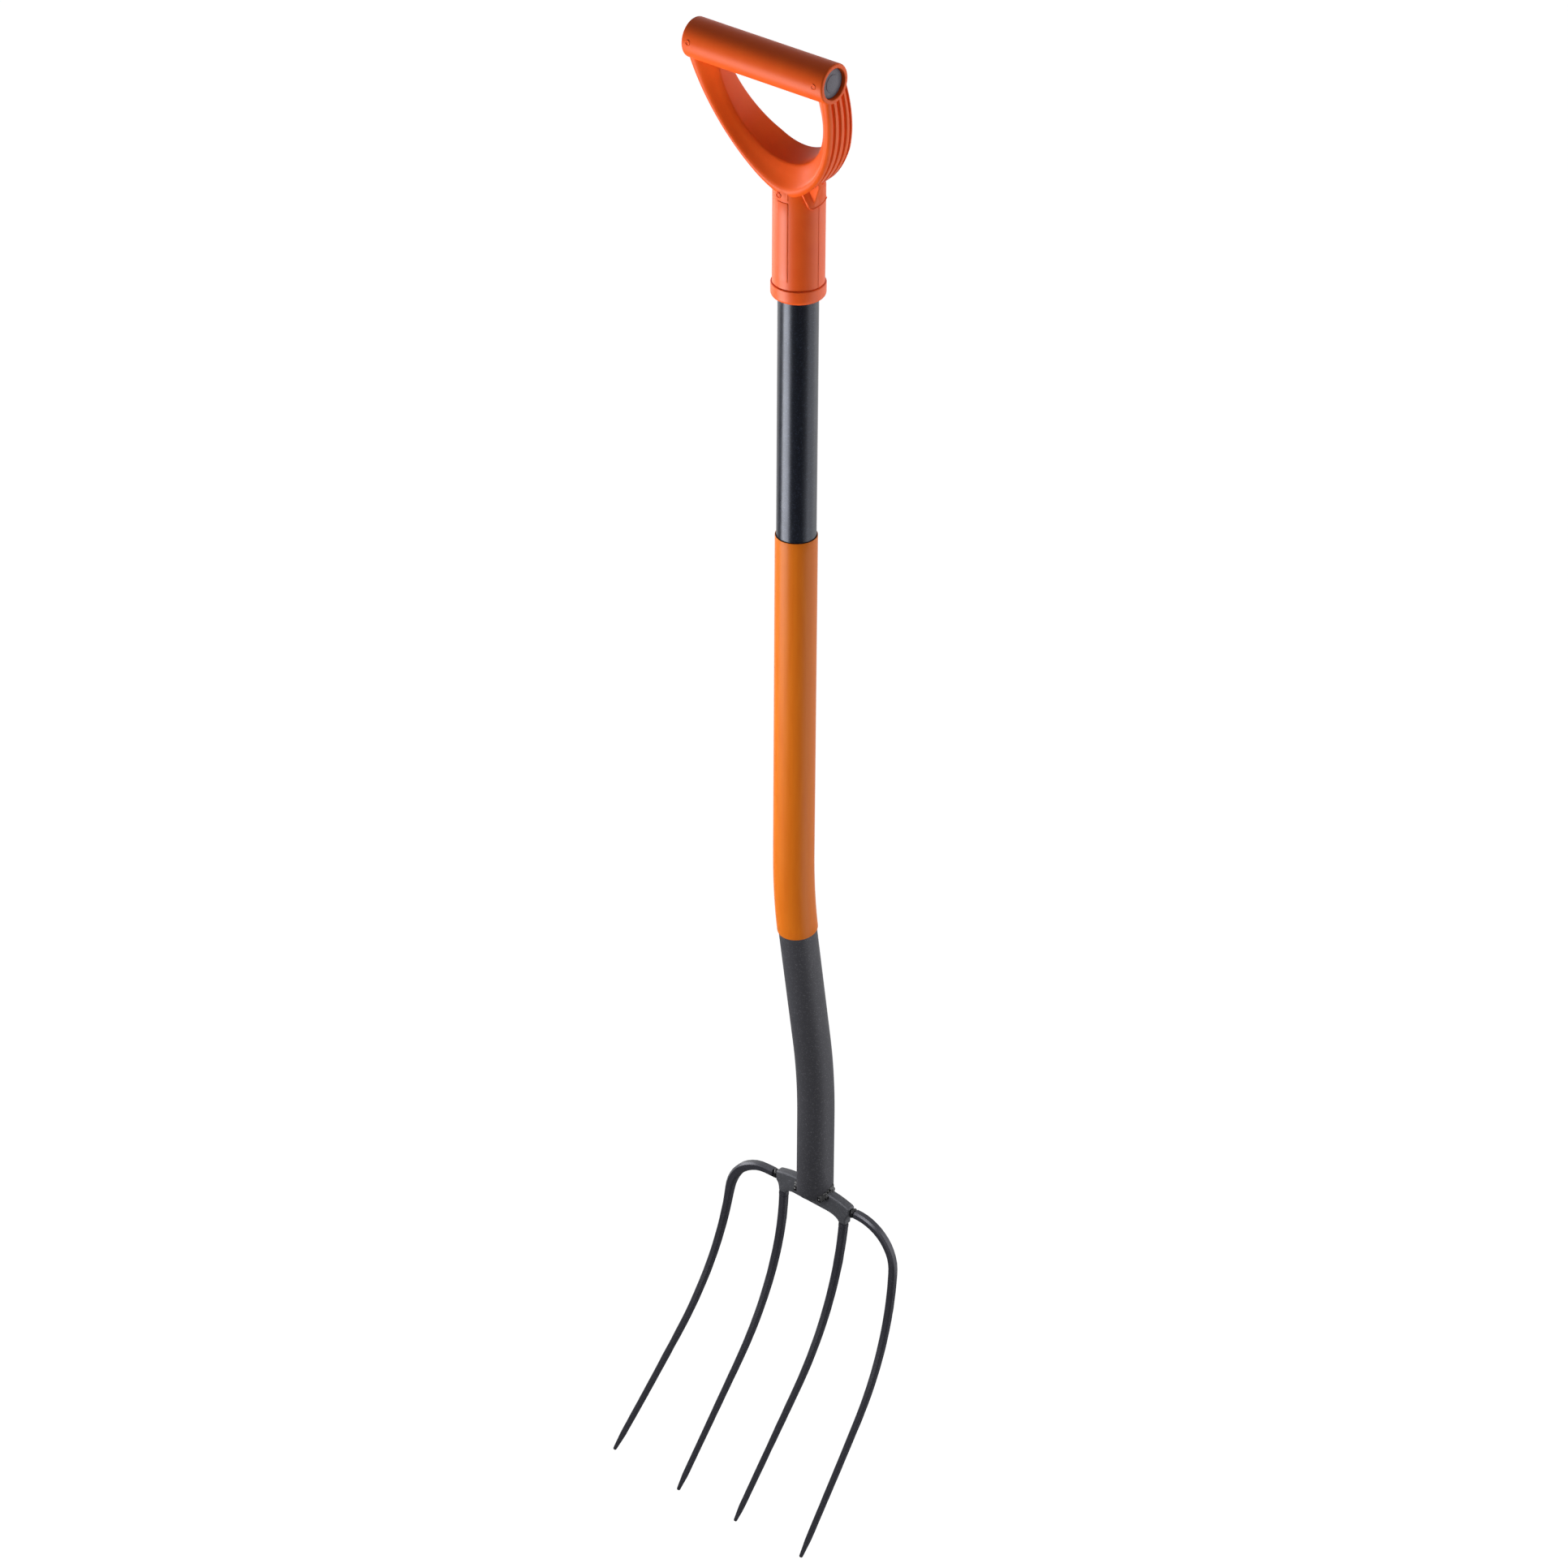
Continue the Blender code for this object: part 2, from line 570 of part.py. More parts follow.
def tine_front_view(outer, side):
    """A tine's front view from its weld to its tip, as (across, down) points."""
    if not outer:
        root = TINE_INNER_ROOT_X[side]
        leg_end = BRIDGE_TOP + BRIDGE_HEIGHT + LEG_DROP + BRIDGE_TILT * side * root
        start = leg_end + BEAD_CLEARANCE + BEAD_THICKNESS + TOUCH_GAP
        points = []
        for i in range(TINE_INNER_DRAW_STEPS + 1):
            share = i / TINE_INNER_DRAW_STEPS
            across = blend((TINE_INNER_X, root), (1 - share) ** 2)
            points.append((side * across, start + TINE_INNER_DRAW * share))
        return points + [(side * TINE_INNER_X, TINE_TIP)]
    level = BRIDGE_TOP + SHOULDER_DROP[side]
    radius = SHOULDER_RADIUS[side]
    full_turn = math.pi / 2 - SPLAY_AT_SHOULDER[side]
    first_slope = math.tan(SPLAY_AT_SHOULDER[side])
    last_slope = math.tan(SPLAY_AT_TIP[side])
    shoulder_end = level + radius * (1 - math.cos(full_turn))
    height = OUTER_TIP[side] - shoulder_end
    shoulder_x = OUTER_TIP_X[side] - height * (first_slope + last_slope) / 2
    centre = shoulder_x - radius * math.sin(full_turn)
    points = [(BRIDGE_HALF_LENGTH + BEAD_CLEARANCE + BEAD_THICKNESS + TOUCH_GAP, level)]
    for i in range(SHOULDER_STEPS + 1):
        angle = full_turn * i / SHOULDER_STEPS
        points.append((centre + radius * math.sin(angle), level + radius * (1 - math.cos(angle))))
    for i in range(1, SPLAY_STEPS + 1):
        share = i / SPLAY_STEPS
        mean_slope = first_slope + (last_slope - first_slope) * share / 2
        points.append((shoulder_x + height * share * mean_slope, shoulder_end + height * share))
    return [(side * across, down) for across, down in points]


def make_tine(name, outer, side, material):
    axis = tine_axis(tine_front_view(outer, side))
    sections = []
    for i, point in enumerate(axis):
        along = (axis[min(i + 1, len(axis) - 1)] - axis[max(i - 1, 0)]).normalized()
        share = i / (len(axis) - 1)
        half = taper_at(share) * (TINE_OUTER_HALF if outer else TINE_INNER_HALF)
        if outer:
            half *= 1 + SHOULDER_SWELL[side] * math.exp(-((share - SWELL_MIDDLE) / SWELL_SPREAD) ** 2)
        sections.append(bar_section(point, along, half))
    add_object(name, loft(sections), material)


def make_tine_bead(name, outer, side, material):
    """The weld metal between a tine's end and the bridge: a short barrel."""
    axis = tine_axis(tine_front_view(outer, side))
    along = (axis[1] - axis[0]).normalized()
    start = axis[0] - along * (BEAD_THICKNESS + TOUCH_GAP)
    sections = []
    for share, size in BEAD_PROFILE:
        sections.append(bar_section(start + along * BEAD_THICKNESS * share, along, BEAD_HALF * size))
    add_object(name, loft(sections), material)


def make_tube_bead(side, name, material):
    """The weld in the corner between the tube's outside and the bridge's top edge."""
    middle = SHAFT_BACK + BEND_OFFSET
    top = below_grip(BRIDGE_TOP + BRIDGE_TILT * side * TONGUE_HALF_WIDTH)
    inner = TUBE_RADIUS - TUBE_BEAD_OVERLAP
    width = TUBE_BEAD_OVERLAP + TUBE_BEAD_REACH
    base = top + TOUCH_GAP
    outline = [(inner, base)]
    for i in range(TUBE_BEAD_STEPS + 1):
        angle = math.pi / 2 * i / TUBE_BEAD_STEPS
        outline.append((inner + width * math.cos(angle), base + TUBE_BEAD_HEIGHT * math.sin(angle)))
    outline = [(side * x, z) for x, z in outline]
    half = BRIDGE_THICKNESS / 2
    bead = add_object(name, prism(outline, middle - half, middle + half), material)
    radius = TUBE_RADIUS + TOUCH_GAP
    reach = 2 * TUBE_BEAD_HEIGHT
    profile = [(0, reach), (radius, reach), (radius, -reach), (0, -reach)]
    cutter = turn(profile, (0, middle, top), (0, 0, 1), TUBE_SIDES)
    combine(bead, add_object(f"{name}_tube_space", cutter), "DIFFERENCE")


def main():
    clear_scene()
    orange_plastic = finish("orange_polypropylene", (0.80, 0.13, 0.02), 0.5, 0.0)
    sleeve_plastic = finish("orange_sleeve_vinyl", (0.85, 0.17, 0.02), 0.45, 0.0)
    black_plastic = finish("black_plug_plastic", (0.05, 0.05, 0.055), 0.6, 0.0)
    tube_coat = finish("black_coated_steel_tube", (0.03, 0.03, 0.034), 0.4, 0.0)
    head_coat = finish("charcoal_coated_steel", (0.05, 0.05, 0.054), 0.6, 0.0)
    weld_coat = finish("coated_weld", (0.035, 0.035, 0.038), 0.35, 0.0)
    zinc = finish("zinc_plated_rivet", (0.5, 0.5, 0.5), 0.4, 1.0)
    make_handle(orange_plastic)
    make_plug(-1, "grip_plug_left", black_plastic)
    make_plug(1, "grip_plug_right", black_plastic)
    make_rivet(zinc)
    make_shaft(tube_coat, sleeve_plastic)
    make_bridge(head_coat)
    for side, name in ((-1, "left"), (1, "right")):
        for outer, place in ((True, "outer"), (False, "inner")):
            make_tine(f"tine_{place}_{name}", outer, side, head_coat)
            make_tine_bead(f"weld_{place}_{name}", outer, side, weld_coat)
        make_tube_bead(side, f"weld_tube_{name}", weld_coat)


main()
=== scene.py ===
"""The looks of a long-handled digging fork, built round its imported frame.

Sizes are in millimetres, and levels are measured down from the grip's axis. The studio's own sizes are
in metres.
"""

import math

import bmesh
import bpy
from mathutils import Matrix, Vector


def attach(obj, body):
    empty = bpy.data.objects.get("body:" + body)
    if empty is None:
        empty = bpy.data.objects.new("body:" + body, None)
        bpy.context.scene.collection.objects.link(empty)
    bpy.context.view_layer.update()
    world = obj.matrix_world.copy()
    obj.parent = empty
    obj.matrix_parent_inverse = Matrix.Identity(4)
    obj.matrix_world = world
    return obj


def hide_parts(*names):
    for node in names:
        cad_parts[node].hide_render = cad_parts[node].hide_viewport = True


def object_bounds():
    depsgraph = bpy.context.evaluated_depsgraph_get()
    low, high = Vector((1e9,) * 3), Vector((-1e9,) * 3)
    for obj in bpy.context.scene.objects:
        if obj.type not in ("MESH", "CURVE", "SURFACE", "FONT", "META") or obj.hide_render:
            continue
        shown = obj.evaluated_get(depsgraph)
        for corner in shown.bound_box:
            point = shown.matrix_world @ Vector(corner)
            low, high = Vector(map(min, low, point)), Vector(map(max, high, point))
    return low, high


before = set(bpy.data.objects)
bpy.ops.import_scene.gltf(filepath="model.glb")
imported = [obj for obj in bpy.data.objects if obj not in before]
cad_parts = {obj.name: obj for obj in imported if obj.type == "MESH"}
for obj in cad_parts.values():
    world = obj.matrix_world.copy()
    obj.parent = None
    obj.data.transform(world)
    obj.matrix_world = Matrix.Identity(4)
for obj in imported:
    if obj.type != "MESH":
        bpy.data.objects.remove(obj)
cad_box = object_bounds()

MM = 0.001

# Shared by several pieces: the gap between neighbours, and how far a cutter runs past what it cuts.
FIT_GAP = 0.3
CUT_PAST = 5

# The grip and its end plugs. A mark's place is (across, degrees up from the front), and a profile is a row of
# (radius, along the axis) points.
GRIP_LENGTH = 125
GRIP_RADIUS = 14.7
GRIP_EDGE_ROUND = 1.3
GRIP_BORE_RADIUS = 11.3
GRIP_BORE_DEPTH = 14
GRIP_MOUTH_ROUND = 0.7
GRIP_MARKS = ((-56.4, 6.4), (55.2, 3.6))
GRIP_MARK_PROFILE = ((1.2, -1.0), (1.2, 0.1), (1.45, 0.3), (1.9, 0.3), (2.2, 0.05), (2.2, -1.0), (1.2, -1.0))
GRIP_MARK_SKEW = math.radians(3)
PLUG_RADIUS = 11.0
PLUG_RECESS = 2.4
PLUG_LENGTH = 9
PLUG_PAD_RADIUS = 6.5
PLUG_PAD_HEIGHT = 0.5
PLUG_PAD_FLANK = ((-0.6, PLUG_PAD_HEIGHT), (-0.2, 0.4), (0, 0.1), (0.5, 0))
PLUG_RIM = ((-0.9, 0), (-0.3, -0.25), (0, -0.9), (0, -PLUG_LENGTH))

# The loop under the grip. Pairs of sizes are for its top and its foot, and spans are distances down it.
LOOP_LEAN = math.radians(18)
LOOP_HALF_WIDTH = 62.7
LOOP_DEPTH = 113.8
LOOP_BACK_SAG = 9
LOOP_POWER = 1.78
LOOP_TOP = 5
LOOP_FRONT = (11, 13.6)
LOOP_FRONT_FLARE = 8
LOOP_BACK_OUTSIDE = (-12.4, -19.6)
LOOP_BACK_OUTSIDE_SPAN = (10, 75)
LOOP_BACK_INSIDE = (-10.2, -20.5)
LOOP_BACK_INSIDE_SPAN = (20, 84)
LOOP_STATIONS = 97
BOW_STEPS = 240
WINDOW_HALF_WIDTH = 44.4
WINDOW_ROUND_START = 26.2
WINDOW_DEPTH = 91.3
WINDOW_POWER = 2
WINDOW_FRONT = 1

# The section of the loop's band. The window's edges are in millimetres, out from the window and to the front.
WINDOW_BACK_EDGE = ((0.9, 0), (0.25, 0.6), (0.0, 1.5))
WINDOW_FRONT_EDGE = ((0.0, -0.5), (0.2, 0.15))
# The front slope, in shares of the band's width and depth.
SLOPE_WIDTHS = (0.06, 0.66)
SLOPE_START_DEPTH = 0.045
SLOPE_END_DEPTH = 0.015
SLOPE_POWER = 1.12
SLOPE_SHARES = (0.33, 0.66, 0.86)
# The lip is a share of the width and a drop in millimetres, and the back edge is a share of each.
LIP_EDGE = ((0.68, 0.4), (0.76, 0.08), (0.83, 0), (0.89, 0.2), (0.94, 0.65), (0.975, 1.35), (0.993, 2.0))
BACK_EDGE = ((0.99, 0.055), (0.965, 0.022), (0.92, 0.004), (0.86, 0))
# A groove is a share of the depth and half a width in millimetres. Its flank is shares of its own sizes.
GROOVES = ((0.785, 1.25), (0.545, 1.25), (0.315, 1.2), (0.12, 0.8))
GROOVE_FLANK = ((1.35, 0.0), (1.05, 0.13), (0.62, 0.72), (0.28, 1.0))
GROOVE_DEPTH = 2.6
GROOVE_FADE = (104, 122)

# The socket on the shaft.
SHAFT_BACK = 40
SOCKET_RADIUS = 19.1
SOCKET_SHOULDER = 108
SOCKET_DOME = 10
SOCKET_RINGS = (127, 138, 150, 161, 170)
SOCKET_WALL_FOOT = 181
COLLAR_RADIUS = 20.2
COLLAR_TOP = 184
COLLAR_ROUND = 3
COLLAR_STEP = ((SOCKET_RADIUS, 0.5), (SOCKET_RADIUS - 0.5, 0.1),
               (COLLAR_RADIUS - 0.4, 0), (COLLAR_RADIUS, -0.5))
SOCKET_MOUTH = 195
SOCKET_BORE_RADIUS = 15.3
SOCKET_BORE_TOP = 118.7
PANEL_TOP = 115.6
PANEL_FOOT = 177.4
PANEL_RISE = 0.5
PANEL_HALF_ANGLE = math.radians(16)
PATCH_TOP = 101
PATCH_FOOT = 113.6
RAISED_EDGE_ROUND = 0.35
POLISH_SPAN = (112, 124)

# The small forms on the socket: the pad and its rim, the webs, the parting line and the boss.
PAD_RADIUS = 20.4
PAD_TOP = 103
PAD_FOOT = 119.6
PAD_FRONT = ((24.9, PAD_TOP), (26.4, 109))
PAD_CORNER_BACK = 32.2
PAD_CORNER_RADIUS = 3
PAD_LOWER_EDGE = ((40, PAD_FOOT - 1.7), (47.4, PAD_FOOT - 4))
PAD_BACK_CORNER = (42, PAD_TOP)
PAD_BLOCK = (9, 23)
PAD_TRIM_SPAN = (90, 130)
PAD_RIM_RADIUS = 0.42
PAD_RIM_STATIONS = 28
FIN_LEVEL = 107
FIN_BACK = 30.1
FIN_SLANT = 0.337
FIN_THICKNESS = 4.5
FIN_FREE_EDGE = ((26.6, 101.2), (18.7, 117))
FIN_OUTLINE = ((12, 99), (29.5, 91.5)) + FIN_FREE_EDGE + ((12, 117),)
FIN_EDGE_ROUND = 0.5
SEAM_ANGLE = math.radians(3)
SEAM_SPAN = (116, 187)
SEAM_WIDTH = 0.7
SEAM_ROOT = 1
SEAM_RISE = 0.25
BOSS_ACROSS = -2.9
BOSS_LEVEL = 110.9
BOSS_RISE = 0.3
BOSS_PROFILE = ((0, 0.35), (1.05, 0.35), (1.3, 0.15), (1.5, 0.2), (1.75, 0.6), (2.05, 0.6), (2.35, 0.25),
                (2.45, -0.2), (2.45, -4.0), (0, -4.0))
BOSS_SKEW = math.radians(4)

# The rivet at the back of the socket.
RIVET_LEVEL = 164
RIVET_SHANK_RADIUS = 2.4
RIVET_HEAD_RADIUS = 4.8
RIVET_HEAD_HEIGHT = 2.2
RIVET_RIM = 0.2
RIVET_SHANK_PAST_WALL = 1

# The shaft and its sleeve.
TUBE_RADIUS = 15
TUBE_WALL = 1.5
TUBE_TOP = 119
TUBE_FOOT = 1013.2
TUBE_RIM_ROUND = 0.3
BEND_START = 672
BEND_ANGLE = math.radians(9.3)
BEND_RADIUS = 480
BEND_OFFSET = 31
SLEEVE_TOP = 391.7
SLEEVE_FOOT = 744
SLEEVE_RADIUS = 15.95
SLEEVE_BORE_RADIUS = 15.3
SLEEVE_RIM_ROUND = 0.3
PIPE_SIDES = 80
PIPE_RING_SPACING = 8

# The bridge plate. Sizes that differ from side to side are given for the left, -1, and the right, 1.
HEAD_BACK = SHAFT_BACK + BEND_OFFSET
BRIDGE_TOP = 1007.1
BRIDGE_HEIGHT = 17.7
BRIDGE_TILT = 0.04
BRIDGE_CROWN = 0.0067
BRIDGE_THICKNESS = 8
BRIDGE_HALF_LENGTH = 38
BRIDGE_CROWN_POINTS = (16, 20, 24, 28, 32, 35, BRIDGE_HALF_LENGTH)
BRIDGE_EDGE_ROUND = 1.7
ARM_HEIGHT = {-1: 13.7, 1: 12.1}
ARM_FILLET = 7.3
LEG_FILLET = {-1: 8, 1: 12}
LEG_WIDTH = 7.5
LEG_DROP = 5.2
TONGUE_HALF_WIDTH = 12.2
TONGUE_LENGTH = 45
TONGUE_EDGE = 6

# The tines.
TINE_INNER_X = 30.2
TINE_INNER_ROOT_X = {-1: 31.3, 1: 30.6}
TINE_INNER_DRAW = 60
TINE_TIP = 1254.6
TINE_HALF = {True: 3.6, False: 3.5}
TINE_TAPER = ((0.0, 1.0), (0.3, 0.87), (0.6, 0.75), (0.95, 0.62), (1.0, 0.36))
TINE_STATIONS = 64
CORNER_CUT_PERCENT = 21
FORGING_SPACING = 9
FORGING_DEPTH = 0.3
SHOULDER_SWELL = {-1: 0.18, 1: 0.0}
SHOULDER_SWELL_AT = (0.15, 0.07)
SWEEP_START = 1016.7
SWEEP_STRAIGHT = 12.5
SWEEP_RADIUS = 235
SWEEP_START_ANGLE = math.radians(4.4)
SWEEP_END_ANGLE = math.radians(41.8)
SHOULDER_RADIUS = {-1: 36.5, 1: 39.5}
SHOULDER_DROP = {-1: 8.6, 1: 10.3}
SPLAY_AT_SHOULDER = {-1: math.radians(2.2), 1: math.radians(5.7)}
SPLAY_AT_TIP = {-1: math.radians(6.4), 1: math.radians(2.8)}
OUTER_TIP_X = {-1: 101.3, 1: 98.8}
OUTER_TIP = {-1: 1251.6, 1: 1254.8}
POOL_SPAN = (1030, 1070)

# The welds. The ground joint's rows are (reach along the bar, share of the bar's width).
BEAD_THICKNESS = 2.6
BEAD_GAP = 0.8
BEAD_VOXEL = 0.45
ARM_BEAD_CORE = 3.6
ARM_BEAD_DROPS = 9
ARM_BEAD_REACH = 2.3
ARM_DROP_RADIUS = 2.0
TUBE_BEAD_DEGREES = (-36, -27, -18, -9, 0, 9, 17)
TUBE_BEAD_CLIMB = 0.75
TUBE_LOW_DROP_RADIUS = 2.3
TUBE_HIGH_DROP_RADIUS = 1.4
GROUND_JOINT = ((-3.6, 1.0), (-2.6, 1.03), (-1.6, 1.02), (-0.8, 1.03), (-0.2, 1.01), (0.3, 0.97))

# The studio, in metres. The camera's focal length is in the photograph's pixels.
FLOOR_DROP = 2.2
FLOOR_SIZE = 80
WHITE_FLOOR_SPAN = (2.5, 4.5)
LAMP_AXIS_BACK = 0.05
CAMERA_AZIMUTH = math.radians(38.9126743)
CAMERA_ELEVATION = math.radians(32.4733651)
CAMERA_ROLL = math.radians(0.397510665)
CAMERA_PLACE = (1.9900829, -2.4376767, 1.427198)
FOCAL_PIXELS = 6112.81826
IMAGE_PIXELS = 1932

ACROSS = Vector((1, 0, 0))
BACK = Vector((0, 1, 0))
UP = Vector((0, 0, 1))


def at(across, back, below):
    """A point in metres, from millimetres across the grip, back from it and below its axis."""
    return Vector((across, back, GRIP_RADIUS - below)) * MM


def blend(pair, share):
    """The value at a share of the way from the first of a pair to the second."""
    return pair[0] + (pair[1] - pair[0]) * share


def along_table(table, share):
    """The value at a share of the way, from a table of (share, value) pairs."""
    for (s0, v0), (s1, v1) in zip(table, table[1:]):
        if share <= s1:
            return blend((v0, v1), (share - s0) / (s1 - s0))
    return table[-1][1]


def through(span, level):
    """How far a level is through a span, from 0 to 1."""
    return min(1.0, max(0.0, (level - span[0]) / (span[1] - span[0])))


def arc(centre, radius, start, end, steps):
    """Points of a plane arc, from one angle in degrees to another."""
    angles = [math.radians(blend((start, end), i / steps)) for i in range(steps + 1)]
    return [(centre[0] + radius * math.cos(a), centre[1] + radius * math.sin(a)) for a in angles]


def dome(radius, height, foot, last_degrees):
    """A dome's profile from its crown outwards, with a point every ten degrees."""
    angles = [math.radians(degrees) for degrees in range(0, last_degrees + 1, 10)]
    return [(radius * math.sin(a), foot + height * math.cos(a)) for a in angles]


def even_points(points, count):
    """Points at equal distances along a polyline."""
    points = [Vector(point) for point in points]
    lengths = [0.0]
    for a, b in zip(points, points[1:]):
        lengths.append(lengths[-1] + (b - a).length)
    found = []
    piece = 0
    for i in range(count):
        target = lengths[-1] * i / (count - 1)
        while piece < len(points) - 2 and lengths[piece + 1] < target:
            piece += 1
        share = (target - lengths[piece]) / (lengths[piece + 1] - lengths[piece])
        found.append(points[piece].lerp(points[piece + 1], share))
    return found


def directions(points):
    """The direction of a route at each of its points."""
    last = len(points) - 1
    return [(points[min(i + 1, last)] - points[max(i - 1, 0)]).normalized() for i in range(last + 1)]


def begin(name, add_primitive, **settings):
    """Adds one primitive at its size and place, and opens it for shaping."""
    bpy.ops.object.select_all(action="DESELECT")
    add_primitive(**settings)
    piece = bpy.context.object
    piece.name = name
    piece.data.name = name
    bpy.ops.object.transform_apply(location=True, rotation=True, scale=True)
    bpy.ops.object.mode_set(mode="EDIT")
    bpy.ops.mesh.select_mode(type="VERT")
    bpy.ops.mesh.select_all(action="SELECT")
    return piece


def turn_faces_out():
    """Selects all of the open piece and turns its faces outwards."""
    bpy.ops.mesh.select_all(action="SELECT")
    bpy.ops.mesh.normals_make_consistent(inside=False)


def settle(piece, angle=35):
    """Closes seams, turns faces outwards and leaves the piece shaded, with flat facets kept sharp."""
    bpy.ops.mesh.select_all(action="SELECT")
    bpy.ops.mesh.remove_doubles(threshold=0.01 * MM)
    turn_faces_out()
    bpy.ops.object.mode_set(mode="OBJECT")
    return shade(piece, angle)


def choose(piece):
    """Makes a piece the only one selected, and the active one."""
    bpy.ops.object.select_all(action="DESELECT")
    piece.select_set(True)
    bpy.context.view_layer.objects.active = piece


def shade(piece, angle):
    """Shades a piece smooth, apart from edges that turn by more than an angle in degrees."""
    choose(piece)
    bpy.ops.object.shade_smooth_by_angle(angle=math.radians(angle))
    return piece


def apply(piece, kind, **settings):
    """Finishes a piece with one modifier."""
    choose(piece)
    modifier = piece.modifiers.new(kind.lower(), kind)
    for key, value in settings.items():
        setattr(modifier, key, value)
    bpy.ops.object.modifier_apply(modifier=modifier.name)
    return piece


def soften(piece, size):
    """Rounds the sharp edges of a finished piece."""
    limit = math.radians(60)
    return apply(piece, "BEVEL", width=size * MM, segments=3, limit_method="ANGLE", angle_limit=limit)


def combine(piece, other, operation):
    """Joins another solid to a piece, or cuts it out."""
    apply(piece, "BOOLEAN", operation=operation, solver="EXACT", object=other)
    bpy.data.objects.remove(other)


def pick(kind, test):
    """Selects the open piece's faces or edges whose corners pass a test."""
    bpy.ops.mesh.select_mode(type=kind)
    bpy.ops.mesh.select_all(action="DESELECT")
    mesh = bpy.context.object.data
    shape = bmesh.from_edit_mesh(mesh)
    for part in shape.faces if kind == "FACE" else shape.edges:
        part.select_set(test([corner.co / MM for corner in part.verts]))
    bmesh.update_edit_mesh(mesh)


def pick_sharp_edges():
    """Turns the open piece's faces outwards and selects its sharp edges."""
    turn_faces_out()
    bpy.ops.mesh.select_mode(type="EDGE")
    bpy.ops.mesh.select_all(action="DESELECT")
    bpy.ops.mesh.edges_select_sharp(sharpness=math.radians(50))


def draw_line(name, points):
    """Pulls one vertex through a row of points."""
    piece = begin(name, bpy.ops.mesh.primitive_plane_add, size=MM, location=points[0])
    bpy.ops.mesh.merge(type="CENTER")
    for here, there in zip(points, points[1:]):
        bpy.ops.mesh.extrude_region_move(TRANSFORM_OT_translate={"value": there - here})
    bpy.ops.mesh.select_all(action="SELECT")
    return piece


def pull_block(name, points, pull):
    """Draws an outline, fills it and pulls it to its thickness, and leaves it open for shaping."""
    piece = draw_line(name, points)
    bpy.ops.mesh.edge_face_add()
    bpy.ops.mesh.extrude_region_move(TRANSFORM_OT_translate={"value": pull * MM})
    return piece


def turn(name, profile, foot, axis, side, steps=96):
    """Spins a profile of (radius, along) points about an axis, and leaves it open for shaping."""
    points = [foot + axis * (along * MM) + side * (radius * MM) for radius, along in profile]
    piece = draw_line(name, points)
    bpy.ops.mesh.spin(steps=steps, angle=math.tau, center=foot, axis=axis)
    bpy.ops.mesh.select_all(action="SELECT")
    bpy.ops.mesh.remove_doubles(threshold=0.01 * MM)
    bpy.ops.mesh.normals_make_consistent(inside=False)
    return piece


def string_rings(name, stations, corners):
    """Sets a ring at each station (middle, direction, side, radius) and bridges them into an open bar."""
    piece = None
    for middle, along, side, radius in stations:
        front = along.cross(side)
        turned = Matrix((side, front, along)).transposed() @ Matrix.Rotation(math.pi / corners, 3, "Z")
        ring = {"vertices": corners, "radius": radius * MM, "location": middle, "rotation": turned.to_euler()}
        if piece is None:
            piece = begin(name, bpy.ops.mesh.primitive_circle_add, **ring)
        else:
            bpy.ops.mesh.primitive_circle_add(**ring)
    bpy.ops.mesh.select_all(action="SELECT")
    bpy.ops.mesh.bridge_edge_loops()
    return piece


def close_ends():
    """Fills the two open ends of a bar."""
    bpy.ops.mesh.select_mode(type="EDGE")
    bpy.ops.mesh.select_all(action="DESELECT")
    bpy.ops.mesh.select_non_manifold()
    bpy.ops.mesh.edge_face_add()


# The handle.


def loop_point(across, down, front):
    """A point of the leaning loop: across the grip, down the loop and out of its front."""
    back = down * math.sin(LOOP_LEAN) - front * math.cos(LOOP_LEAN)
    below = down * math.cos(LOOP_LEAN) + front * math.sin(LOOP_LEAN)
    return at(across, back, below)


def bow(half_width, depth, power):
    """The lower half of an oval, as (across, down) points. A lower power gives straighter sides."""
    points = []
    for i in range(BOW_STEPS + 1):
        angle = math.pi * i / BOW_STEPS
        across = math.copysign(abs(math.cos(angle)) ** (2 / power), math.cos(angle))
        points.append((half_width * across, depth * max(0.0, math.sin(angle)) ** (2 / power)))
    return points


def band_section(width, inside, low, high, groove_depth):
    """Once round the loop's band, as (out from the window, out of the front) points."""
    depth = high - low
    slope_start = WINDOW_FRONT + SLOPE_START_DEPTH * depth
    slope_rise = high - SLOPE_END_DEPTH * depth - slope_start
    window = [(out, inside + rise) for out, rise in WINDOW_BACK_EDGE]
    window += [(out, WINDOW_FRONT + rise) for out, rise in WINDOW_FRONT_EDGE]
    slope = [(SLOPE_WIDTHS[0] * width, slope_start)]
    slope += [(blend(SLOPE_WIDTHS, share) * width, slope_start + slope_rise * share ** SLOPE_POWER)
              for share in SLOPE_SHARES]
    lip = [(share * width, high - drop) for share, drop in LIP_EDGE]
    mirrored = tuple((-reach, sunk) for reach, sunk in reversed(GROOVE_FLANK))
    grooves = []
    for level, half_width in GROOVES:
        middle = low + level * depth
        for reach, sunk in GROOVE_FLANK + mirrored:
            grooves.append((width - groove_depth * sunk, middle + reach * half_width))
    back = [(share * width, low + rise * depth) for share, rise in BACK_EDGE]
    return window + slope + lip + grooves + back + [(0.5 * width, (low + inside) / 2)]


